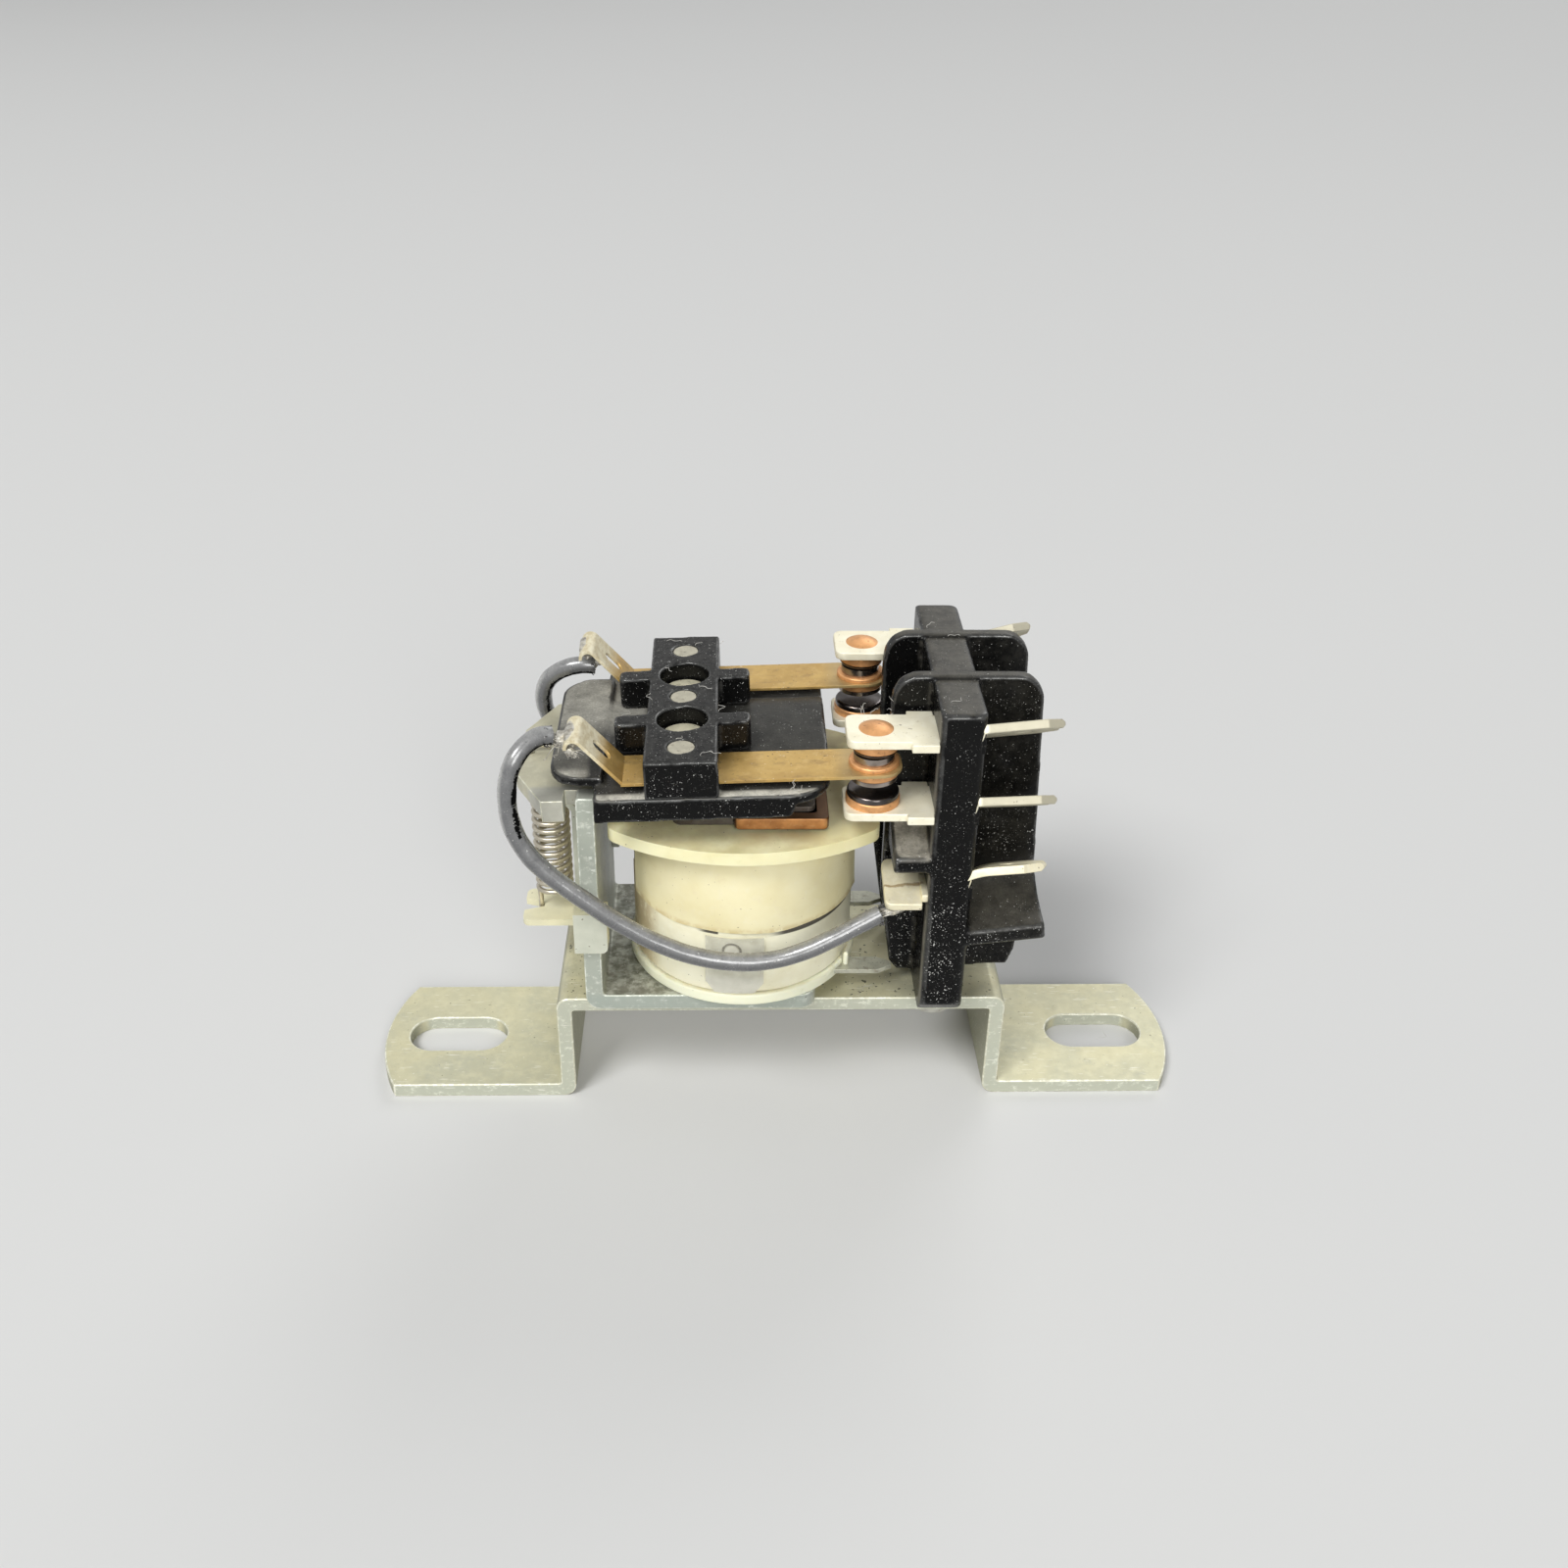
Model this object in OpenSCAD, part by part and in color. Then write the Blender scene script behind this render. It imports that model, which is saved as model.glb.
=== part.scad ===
// General purpose power relay, two pole, open frame, on a hat-section mounting bracket.
// Millimetres. X runs along the bracket, Y from the front pole (-) to the rear pole (+), Z up.
// The origin is on the mounting face, at the middle of the bracket.
// The armature assembly is drawn closed and then tilted to its open, unpowered place.

/* [Mounting bracket] */
// Width of the bracket strip
strip_w = 15.9; // [15:0.1:18]
// Thickness of the bracket strip
strip_t = 1.5; // [1.2:0.1:2]
// Length over the two rounded feet
bracket_l = 81.6; // [80:0.2:90]
// Radius of the rounded ends of the feet
foot_r = 16.5; // [10:0.5:24]
// Distance between the centres of the two mounting slots
slot_spacing = 66.7; // [64:0.1:68]
// Length of a mounting slot over its round ends
slot_l = 10; // [7:0.2:11]
// Width of a mounting slot
slot_w = 5.2; // [4:0.1:6]
// Length of the raised bridge over its outer faces
bridge_l = 44; // [44:0.2:47]
// Height of the top of the bridge above the mounting face
bridge_h = 12.3; // [10:0.1:18]
// Outside radius of the bends of the bracket
bend_r = 1.3; // [0.8:0.1:1.6]

/* [Magnet] */
// Width of the magnet frame
frame_w = 19; // [18:0.2:21]
// Thickness of the magnet frame
frame_t = 1.65; // [1.4:0.05:2]
// Place of the outer face of the frame's upright leg, from the middle of the bracket
frame_x = -18.85; // [-20:0.05:-18.5]
// Distance from the outer face of the leg to the axis of the core
core_reach = 15.05; // [15:0.05:15.4]
// Length of the frame's lower leg past the axis of the core
frame_tail = 7; // [5:0.2:8]
// Width of each post beside the armature's seat
post_w = 1.9; // [1.5:0.1:2.4]
// Diameter of the core
core_d = 9.4; // [7:0.2:11]
// Length of the pole face along the bracket
pole_l = 13; // [11:0.2:14]
// Width of the pole face across the bracket
pole_w = 15.4; // [13:0.2:16]
// Thickness of the pole face
pole_t = 1.95; // [1.8:0.05:2.6]
// Height and width of the copper shading ring's bar
ring_bar = 1.2; // [0.8:0.05:1.3]
// Outside length of the shading ring along the bracket
ring_l = 8.6; // [7:0.2:9]

/* [Coil] */
// Height of the bobbin over its flanges
bobbin_h = 18.15; // [16:0.05:22]
// Thickness of a bobbin flange
flange_t = 1.3; // [1:0.1:1.6]
// Diameter of the round lower flange
low_flange_d = 22.4; // [22:0.1:22.8]
// Length and depth of the upper flange
top_flange = 24.9; // [24.4:0.1:25.2]
// Radius of the upper flange's curved front and back
top_flange_r = 20; // [16:0.5:30]
// Diameter of the winding under its labels
winding_d = 21.2; // [18:0.1:21.3]
// Thickness of a label
label_t = 0.12; // [0.08:0.01:0.16]
// Height of the upper label
upper_label_h = 8.6; // [6:0.1:9.6]
// Height of the lower label
lower_label_h = 9.4; // [6:0.1:9.8]
// Height of the patch of clear tape
tape_h = 6.4; // [4:0.1:6.8]
// Width of a coil terminal
coil_pin_w = 2.1; // [1.5:0.1:3]
// Length of a coil terminal outside the flange
coil_pin_l = 4.9; // [3:0.1:6]

/* [Armature] */
// Thickness of the armature plate
arm_t = 1.6; // [1.2:0.05:1.8]
// Width of the armature plate over the pole
arm_w = 16; // [14:0.1:16.2]
// Tilt of the open armature, in degrees
open_angle = 2.1; // [1.6:0.05:2.6]
// Length of the armature's tail outside the leg
tail_l = 5.75; // [5:0.05:7]
// Width of the end of the tail
tail_w = 8.2; // [6:0.2:10]
// Length of the carrier from the leg's outer face
carrier_l = 22.8; // [21.5:0.1:23.2]
// Width of the carrier and of the clamp bar
carrier_w = 25; // [24.6:0.1:26]
// Thickness of the carrier's top plate
carrier_t = 0.95; // [0.8:0.05:1.4]
// Depth of the carrier's skirt below its top plate
skirt_h = 1.3; // [1:0.1:1.4]
// Height of the raised rib along the carrier
rib_h = 0.6; // [0.3:0.05:0.62]
// Width of the raised rib along the carrier
rib_w = 11; // [8:0.2:11.6]
// Width of the clamp bar along the bracket
clamp_l = 6.5; // [5.6:0.1:7]
// Height of the clamp bar above the carrier's top plate
clamp_h = 3.65; // [3.2:0.05:4.5]
// Distance from the leg's outer face to the axes of the clamp's rivets
clamp_reach = 9.75; // [9.4:0.05:10.2]
// Distance between the two deep holes of the clamp
deep_spacing = 8.8; // [8.2:0.1:9.4]
// Diameter of the deep holes of the clamp
deep_d = 4.6; // [3.6:0.1:5]
// Diameter of the small rivets through the clamp
clamp_rivet_d = 2.4; // [1.6:0.1:2.6]

/* [Contacts] */
// Distance between the two poles
pole_pitch = 17.3; // [17:0.1:17.6]
// Distance from the leg's outer face to the contacts
contact_reach = 26.55; // [26:0.05:27.5]
// Thickness of a contact blade
blade_t = 0.3; // [0.2:0.05:0.4]
// Width of a contact blade
blade_w = 5; // [4.4:0.1:5.2]
// Gap between the carrier's top plate and the underside of a blade
blade_rise = 0.65; // [0.4:0.05:0.9]
// Diameter of the normally closed contacts
nc_d = 4.3; // [3.4:0.1:4.8]
// Height of the normally closed contacts
nc_h = 1.27; // [0.9:0.01:1.6]
// Diameter of the moving contacts
moving_d = 4.5; // [3.4:0.1:4.8]
// Height of a moving contact above or below its blade
moving_h = 1.3; // [0.9:0.05:1.6]
// Diameter of the normally open contacts
no_d = 4.9; // [3.4:0.1:5]
// Height of the normally open contacts
no_h = 1.3; // [0.9:0.05:1.6]
// Thickness of the silver face on a contact
silver_t = 0.55; // [0.4:0.05:0.6]
// Thickness of the silver on top of a moving contact
cap_t = 0.85; // [0.6:0.05:0.9]
// Thickness of the silver on a normally closed contact
nc_silver_t = 0.3; // [0.2:0.05:0.5]

/* [Terminals] */
// Width of a tab terminal
tab_w = 6.35; // [5:0.05:6.5]
// Thickness of a tab terminal
tab_t = 0.8; // [0.6:0.05:0.9]
// Length of a tab outside the block
tab_l = 7.1; // [6:0.1:8]
// Width of a terminal inside the block
tab_body_w = 4.8; // [4:0.1:5]
// Width of a terminal's contact end
contact_end_w = 5.1; // [4.9:0.05:5.6]
// Twist that locks a tab, in degrees
tab_twist = 25; // [15:1:32]
// Height from the common terminals to the normally open terminals
com_drop = 7.95; // [7.6:0.05:8.4]
// Drop of a common terminal's lug below its tab
com_joggle = 0.9; // [0.5:0.05:1.1]

/* [Terminal block] */
// Thickness of the block's wall
block_t = 4.1; // [3.4:0.1:4.2]
// Thickness of the block outside its terminals
block_wall = 0.55; // [0.4:0.05:1.1]
// Distance from the contacts to the block's inner face
block_gap = 5.3; // [5:0.1:5.6]
// Height of the block above the normally closed terminals
block_head = 2.75; // [2:0.05:4]
// Distance between the two barrier fins
fin_spacing = 8.6; // [8:0.1:8.8]
// Thickness of a barrier fin
fin_t = 1.4; // [1:0.1:1.5]
// Reach of the fins on the tab side
fin_out = 6.8; // [5:0.1:7.4]
// Reach of the fins on the contact side
fin_in = 3.6; // [2.6:0.1:3.8]
// Thickness of the block's shelves at their lips
shelf_t = 1.9; // [1.4:0.1:2.1]
// Diameter of the screws that hold the block
block_screw_d = 2.9; // [2.2:0.1:3.2]

/* [Return spring] */
// Diameter of the spring wire
wire_d = 0.5; // [0.3:0.05:0.55]
// Outside diameter of the spring
spring_d = 3.7; // [3:0.1:4]
// Rise of the spring in one turn
spring_pitch = 0.87; // [0.84:0.01:0.9]
// Number of turns
spring_turns = 13; // [10:1:13]
// Distance from the leg's outer face to the axis of the spring
spring_reach = 3.45; // [3.3:0.05:3.7]
// Thickness of the spring bracket
clip_t = 0.7; // [0.5:0.05:0.9]

/* [Pigtails] */
// Diameter of a pigtail over its insulation
pigtail_d = 1.75; // [1.6:0.05:1.9]

/* [Hidden] */

// Clearances
running = 0.03;      // between faces that meet when the armature moves
fit = 0.02;          // between a piece and the pocket that holds it
past = 1;            // how far a cutting tool runs past the face it cuts

// Levels, from the bridge up
frame_z = bridge_h;
coil_z = frame_z + frame_t;
flange_z = coil_z + bobbin_h;
pole_z = flange_z + pole_t;
arm_z = pole_z + running;
arm_top = arm_z + arm_t;
deck_gap = 0.8;      // from the armature plate up to the carrier's top plate
deck_z = arm_top + deck_gap + carrier_t;
blade_z = deck_z + blade_rise;
clamp_z = deck_z + clamp_h;

// Places along the bracket
leg_in = frame_x + frame_t;
core_x = frame_x + core_reach;
clamp_x = frame_x + clamp_reach;
carrier_x0 = leg_in + 0.3;
carrier_x1 = frame_x + carrier_l;
contact_x = frame_x + contact_reach;
block_x0 = contact_x + block_gap;
block_x1 = block_x0 + block_t;
spring_x = frame_x - spring_reach;
pole_y = pole_pitch / 2;

// The contacts: the closed armature brings them down by contact_travel
contact_travel = contact_reach * sin(open_angle);
blade_open_z = blade_z + blade_t + contact_travel;
tilt_room = 0.05;    // the moving contact is tilted where it meets the upper one
nc_z = blade_open_z + moving_h + tilt_room + nc_h;
no_z = blade_z - moving_h - running - no_h - tab_t;
com_z = no_z - com_drop;
block_z1 = nc_z + tab_t + block_head;
block_w = pole_pitch + tab_body_w + 2 * block_wall;
fin_y = fin_spacing / 2;

// Outer radii of the coil's layers
winding_r = winding_d / 2;
lower_label_r = winding_r + fit;
upper_label_r = lower_label_r + label_t + fit;
tape_r = upper_label_r + label_t + fit;

// A rectangle with round corners, centred
module round_rect(l, w, r) {
    square([l - 2 * r, w], center = true);
    square([l, w - 2 * r], center = true);
    for (x = [-1, 1], y = [-1, 1]) {
        translate([x * (l / 2 - r), y * (w / 2 - r)]) circle(r, $fn = 48);
    }
}

// What a fillet of radius r adds to or takes from a square corner at the origin
module corner(r) {
    difference() {
        square(r);
        translate([r, r]) circle(r, $fn = 48);
    }
}

// A long round-ended hole through a plate, along X
module slot_hole(l, d, h) {
    for (x = [-1, 1]) translate([x * (l - d) / 2, 0, 0]) cylinder(h = h, d = d, center = true, $fn = 48);
    cube([l - d, d, h], center = true);
}

// Puts a flat drawing, drawn as X and Z, upright and gives it a depth along Y
module upright(w) {
    translate([0, w / 2, 0]) rotate([90, 0, 0]) linear_extrude(w) children();
}

// Both poles, as a pair
module both_poles() {
    for (s = [-1, 1]) translate([0, s * pole_y, 0]) children();
}

// Tilts what is drawn closed to the open place
module opened() {
    translate([frame_x, 0, arm_z]) rotate([0, -open_angle, 0]) translate([-frame_x, 0, -arm_z]) children();
}

// Points of a smooth curve through the points of a route, with n steps between two of them
function spline_point(a, b, c, d, t) =
    0.5 * (2 * b + (c - a) * t + (2 * a - 5 * b + 4 * c - d) * t * t + (3 * b - a - 3 * c + d) * t * t * t);
function smooth(p, n) = [
    for (i = [0 : len(p) - 2], j = [0 : n - 1])
        spline_point(p[max(i - 1, 0)], p[i], p[i + 1], p[min(i + 2, len(p) - 1)], j / n),
    p[len(p) - 1]
];
function unit(v) = v / norm(v);
function heading(p, i) = unit(p[min(i + 1, len(p) - 1)] - p[max(i - 1, 0)]);
function side_of(v, t) = unit(v - (v * t) * t);
function sides_along(p, first) = [
    for (i = 0, v = side_of(first, heading(p, 0)); i < len(p);
        i = i + 1, v = i < len(p) ? side_of(v, heading(p, i)) : v) v
];

// A round tube of n sides along a list of points
module tube(p, d, n, first) {
    side = sides_along(p, first);
    points = [
        for (i = [0 : len(p) - 1], k = [0 : n - 1])
            p[i] + d / 2 * (cos(360 * k / n) * side[i] + sin(360 * k / n) * cross(heading(p, i), side[i]))
    ];
    walls = [
        for (i = [0 : len(p) - 2], k = [0 : n - 1]) each [
            [i * n + k, (i + 1) * n + (k + 1) % n, i * n + (k + 1) % n],
            [i * n + k, (i + 1) * n + k, (i + 1) * n + (k + 1) % n]
        ]
    ];
    last = (len(p) - 1) * n;
    ends = [
        for (k = [1 : n - 2]) each [[0, k, k + 1], [last, last + k + 1, last + k]]
    ];
    polyhedron(points, concat(walls, ends), convexity = 10);
}

// Mounting bracket: a hat-section strip with a slot in each round-ended foot
core_rivet_d = 6;
block_screw_y = 4.5;
block_screw_x = block_x0 + block_t / 2;
module hat_side() {
    riser = bridge_l / 2;
    difference() {
        union() {
            square([bracket_l / 2, strip_t]);
            translate([riser - strip_t, 0]) square([strip_t, bridge_h]);
            translate([0, bridge_h - strip_t]) square([riser, strip_t]);
            translate([riser, strip_t]) corner(0.3);
            translate([riser - strip_t, bridge_h - strip_t]) rotate(180) corner(0.3);
        }
        translate([-past, -past]) square([riser - strip_t + past, strip_t + 2 * past]);
        translate([riser - strip_t, 0]) corner(bend_r);
        translate([riser, bridge_h]) rotate(180) corner(bend_r);
    }
}
module mounting_bracket() color("#a9a88f") {
    foot_c = bracket_l / 2 - foot_r;
    difference() {
        intersection() {
            upright(strip_w) union() {
                hat_side();
                mirror([1, 0]) hat_side();
            }
            linear_extrude(bridge_h) union() {
                square([2 * foot_c, strip_w], center = true);
                for (s = [-1, 1]) translate([s * foot_c, 0]) circle(foot_r, $fn = 96);
            }
        }
        for (s = [-1, 1]) translate([s * slot_spacing / 2, 0, strip_t / 2]) slot_hole(slot_l, slot_w, strip_t + past);
        translate([core_x, 0, 0]) cylinder(h = bridge_h + past, d = core_rivet_d + 2 * fit, $fn = 48);
        for (s = [-1, 1]) translate([block_screw_x, s * block_screw_y, 0])
            cylinder(h = bridge_h + past, d = block_screw_d + 2 * fit, $fn = 32);
    }
}

// Magnet frame: a bent strip that lies on the bridge and rises behind the coil
seat_w = frame_w - 2 * post_w;
post_top = arm_top + 0.3;
frame_bend_r = 1.5;
frame_end_r = 1.6;
module magnet_frame() color("#8b9087") {
    frame_x1 = core_x + frame_tail;
    difference() {
        upright(frame_w) difference() {
            union() {
                translate([frame_x, frame_z]) square([frame_x1 - frame_x, frame_t]);
                translate([frame_x, frame_z]) square([frame_t, post_top - frame_z]);
                translate([leg_in, coil_z]) corner(0.4);
            }
            translate([frame_x, frame_z]) corner(frame_bend_r);
            translate([frame_x, post_top]) rotate(-90) corner(0.4);
        }
        translate([frame_x - past, -seat_w / 2, arm_z - running]) cube([frame_t + 2 * past, seat_w, post_top]);
        for (s = [-1, 1]) translate([frame_x1, s * frame_w / 2, frame_z - past])
            rotate(s > 0 ? 180 : 90) linear_extrude(frame_t + 2 * past) corner(frame_end_r);
        translate([core_x, 0, 0]) cylinder(h = pole_z, d = core_rivet_d + 2 * fit, $fn = 48);
    }
}

// Core: a riveted shank with a slotted pole face that holds the shading ring
core_head_d = 8.6;
core_head_h = 0.9;
ring_x1 = core_x + pole_l / 2 + ring_bar;
ring_x0 = ring_x1 - ring_l;
ring_z = flange_z + 0.25;
ring_w = pole_w + 2 * ring_bar;
module core() color("#8f9490") {
    under = bridge_h - strip_t;
    translate([core_x, 0, under - core_head_h]) cylinder(h = core_head_h - fit, d1 = core_rivet_d, d2 = core_head_d, $fn = 48);
    translate([core_x, 0, under - core_head_h]) cylinder(h = coil_z - under + core_head_h + core_rivet_d, d = core_rivet_d, $fn = 48);
    translate([core_x, 0, coil_z + fit]) cylinder(h = bobbin_h, d = core_d, $fn = 48);
    translate([0, 0, flange_z + fit]) difference() {
        translate([core_x, 0, 0]) linear_extrude(pole_t - fit) round_rect(pole_l, pole_w, 0.8);
        translate([ring_x0 - fit, -pole_w, ring_z - flange_z - 2 * fit]) cube([ring_bar + 2 * fit, 2 * pole_w, pole_t]);
        // the ring passes round the end and the sides of the slotted half
        translate([core_x + pole_l / 2 - fit, -pole_w, -past]) cube([pole_l, 2 * pole_w, pole_t + 2 * past]);
    }
}

// Shading ring: a copper loop round half of the pole face
module shading_ring() color("#8a5a3a") {
    translate([(ring_x0 + ring_x1) / 2, 0, ring_z]) linear_extrude(ring_bar) difference() {
        round_rect(ring_l, ring_w, 0.6);
        square([ring_l - 2 * ring_bar, pole_w + 2 * fit], center = true);
    }
}

// Bobbin: a barrel between a round lower flange and a wide upper flange
bobbin_wall = 0.9;
pin_t = 0.5;
pin_y = 5.7;
pin_z = coil_z + (flange_t - pin_t) / 2;
pin_x1 = core_x + sqrt(pow(low_flange_d / 2, 2) - pow(pin_y, 2)) + coil_pin_l;
pin_root = 3.5;
top_flange_corner = 1.6;
module top_flange_outline() {
    sagitta_c = top_flange_r - top_flange / 2;
    offset(r = top_flange_corner, $fn = 48) offset(delta = -top_flange_corner) intersection() {
        translate([0, sagitta_c]) circle(top_flange_r, $fn = 128);
        translate([0, -sagitta_c]) circle(top_flange_r, $fn = 128);
        square(top_flange, center = true);
    }
}
module bobbin() color("#d8d2ae") {
    difference() {
        union() {
            translate([core_x, 0, coil_z]) rotate_extrude($fn = 96) difference() {
                translate([core_d / 2 + fit, 0]) union() {
                    square([bobbin_wall, bobbin_h]);
                    square([low_flange_d / 2 - core_d / 2 - fit, flange_t]);
                }
                translate([low_flange_d / 2, 0]) rotate(90) corner(0.35);
                translate([low_flange_d / 2, flange_t]) rotate(180) corner(0.35);
            }
            translate([core_x, 0, flange_z - flange_t]) linear_extrude(flange_t) difference() {
                top_flange_outline();
                circle(d = core_d + 2 * fit + bobbin_wall, $fn = 96);
            }
        }
        for (s = [-1, 1]) translate([pin_x1 - coil_pin_l - pin_root - fit, s * pin_y - coil_pin_w / 2 - fit, pin_z - fit])
            cube([coil_pin_l + pin_root, coil_pin_w + 2 * fit, pin_t + 2 * fit]);
    }
}

// Winding: the wound wire under its outer turn of tape
winding_z0 = coil_z + flange_t + fit;
winding_z1 = flange_z - flange_t - fit;
module coil_winding() color("#b8a05a") {
    translate([core_x, 0, winding_z0]) difference() {
        cylinder(h = winding_z1 - winding_z0, r = winding_r, $fn = 96);
        translate([0, 0, -past]) cylinder(h = bobbin_h, d = core_d + 2 * bobbin_wall + 4 * fit, $fn = 96);
    }
}

// Part of a thin shell round the coil, from angle a to angle b
module wrap(r, z, h, a, b) {
    translate([core_x, 0, z]) rotate([0, 0, a]) rotate_extrude(angle = b - a, $fn = 120)
        translate([r, 0]) square([label_t, h]);
}
lower_label_turn = [190, 352];    // from and to these angles round the coil
upper_label_turn = [200, 348];
tape_turn = [251, 280];
module lower_label() color("#d9d5c4") wrap(lower_label_r, winding_z0, lower_label_h, lower_label_turn[0], lower_label_turn[1]);
module upper_label() color("#d9cd9a")
    wrap(upper_label_r, winding_z1 - upper_label_h, upper_label_h, upper_label_turn[0], upper_label_turn[1]);
module tape_patch() color("#cfcab4") wrap(tape_r, winding_z0, tape_h, tape_turn[0], tape_turn[1]);

// Coil terminals: two flat pins in the lower flange
module coil_pin() {
    tip = 1.4;
    l = pin_root + coil_pin_l;
    linear_extrude(pin_t) polygon([
        [0, -coil_pin_w / 2], [l - tip, -coil_pin_w / 2], [l, -0.3], [l, 0.3],
        [l - tip, coil_pin_w / 2], [0, coil_pin_w / 2]
    ]);
}
module coil_terminals() color("#a8a79b") {
    for (s = [-1, 1]) translate([pin_x1 - coil_pin_l - pin_root, s * pin_y, pin_z]) coil_pin();
}

// Coil leads: the ends of the winding, brought down to the terminals
lead_d = 0.5;
lead_h = 1.1;
lead_gap = 0.1;
module coil_leads() color("#9c6a3c") {
    lead_x = core_x + sqrt(pow(max(low_flange_d / 2, tape_r + label_t) + lead_d / 2 + lead_gap, 2) - pow(pin_y, 2));
    for (s = [-1, 1]) {
        translate([lead_x, s * pin_y, pin_z + pin_t]) cylinder(h = lead_h, d = lead_d, $fn = 16);
        translate([lead_x, s * pin_y, pin_z + pin_t + lead_h]) sphere(d = lead_d, $fn = 16);
    }
}

// Terminal block: an upright wall with two barrier fins between the poles and shelves below the tabs
block_r = 1;
foot_chamfer = 2;
fin_corner = 2.6;
ridge_h = 0.45;
in_shelf_z = no_z - 3.7;      // top of the shelf under the normally open contacts
out_shelf_z = com_z - 3.9;    // top of the shelf under the common tabs, at the block
out_shelf_tilt = 7;
fin_z0 = bridge_h + 1.2;
module fin_side() {
    top = block_z1 + ridge_h;
    difference() {
        polygon([
            [block_x0 - fin_in, top], [block_x0 - fin_in, com_z - 4], [block_x0 - fin_in + 1.2, fin_z0 + 1],
            [block_x0 - fin_in + 2, fin_z0], [block_x1 + fin_out - 1.6, fin_z0 + 0.7], [block_x1 + fin_out - 1, fin_z0 + 2.5],
            [block_x1 + fin_out, com_z], [block_x1 + fin_out - 0.8, top - fin_corner], [block_x1 + fin_out - 0.8, top]
        ]);
        translate([block_x0 - fin_in, top]) rotate(-90) corner(fin_corner);
        translate([block_x1 + fin_out - 0.8, top]) rotate(180) corner(fin_corner);
    }
}
// A shelf seen along X: a lip at the block's front with a scooped top that runs up to the fin
lip_r = 0.8;
module shelf_side(z) {
    face = fin_y + fin_t / 2;
    lip = block_w / 2;
    scoop = lip - face - 0.9;
    difference() {
        translate([face - 0.2, z - shelf_t]) square([lip - face + 0.2, shelf_t + scoop]);
        translate([face + scoop, z + scoop]) circle(scoop, $fn = 64);
        translate([face + scoop, z]) square([lip, 2 * scoop]);
        translate([lip, z - shelf_t]) rotate(90) corner(lip_r);
        translate([lip, z]) rotate(180) corner(lip_r / 2);
    }
}
module shelf(x0, x1, z) {
    difference() {
        for (s = [0, 1]) mirror([0, s, 0]) translate([x0, 0, 0]) rotate([90, 0, 90]) linear_extrude(x1 - x0) shelf_side(z);
        children();
    }
}
module terminal_block() color("#232221") {
    slot_z = [nc_z, no_z];
    difference() {
        union() {
            translate([block_x0, 0, bridge_h + fit]) intersection() {
                linear_extrude(block_z1 - bridge_h) difference() {
                    translate([0, -block_w / 2]) square([block_t, block_w]);
                    translate([block_t, block_w / 2]) rotate(180) corner(block_r);
                    translate([block_t, -block_w / 2]) rotate(90) corner(block_r);
                    translate([0, block_w / 2]) rotate(-90) corner(0.3);
                    translate([0, -block_w / 2]) corner(0.3);
                }
                rotate([90, 0, 90]) linear_extrude(block_t) polygon([
                    [-block_w / 2 + foot_chamfer, 0], [block_w / 2 - foot_chamfer, 0],
                    [block_w / 2, foot_chamfer], [block_w / 2, block_z1 - bridge_h - 0.3],
                    [block_w / 2 - 0.3, block_z1 - bridge_h], [-block_w / 2 + 0.3, block_z1 - bridge_h],
                    [-block_w / 2, block_z1 - bridge_h - 0.3], [-block_w / 2, foot_chamfer]
                ]);
            }
            for (s = [-1, 1]) translate([0, s * fin_y, 0]) upright(fin_t) fin_side();
            shelf(block_x0 - fin_in + 0.3, block_x0 + 0.2, in_shelf_z);
            // the outer shelf rises a little to its end
            translate([block_x1, 0, out_shelf_z]) rotate([0, -out_shelf_tilt, 0]) shelf(-0.8, fin_out + 0.2, 0);
        }
        for (z = slot_z) both_poles() translate([block_x0 - past, -tab_body_w / 2 - fit, z - fit])
            cube([block_t + 2 * past, tab_body_w + 2 * fit, tab_t + 2 * fit]);
        both_poles() translate([0, 0, com_z]) upright(tab_body_w + 2 * fit) offset(delta = fit) com_side(past);
        for (s = [-1, 1]) translate([block_screw_x, s * block_screw_y, bridge_h - past])
            cylinder(h = block_screw_l - strip_t + past, d = block_screw_d + 2 * fit, $fn = 32);
    }
}

// Screws that hold the block, from under the bridge
block_screw_l = 7.5;
block_head_d = 5.2;
block_head_h = 1.5;
module block_screws() color("#9a9a94") {
    for (s = [-1, 1]) translate([block_screw_x, s * block_screw_y, bridge_h - strip_t]) {
        cylinder(h = block_screw_l - fit, d = block_screw_d, $fn = 32);
        translate([0, 0, -block_head_h - fit]) difference() {
            rotate_extrude($fn = 48) difference() {
                square([block_head_d / 2, block_head_h]);
                translate([block_head_d / 2, 0]) rotate(90) corner(0.8);
            }
            translate([-block_head_d, -0.4, -past]) cube([2 * block_head_d, 0.8, past + 0.7]);
        }
        translate([0, 0, -2 * fit]) cylinder(h = 3 * fit, d = block_screw_d, $fn = 32);
    }
}

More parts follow.
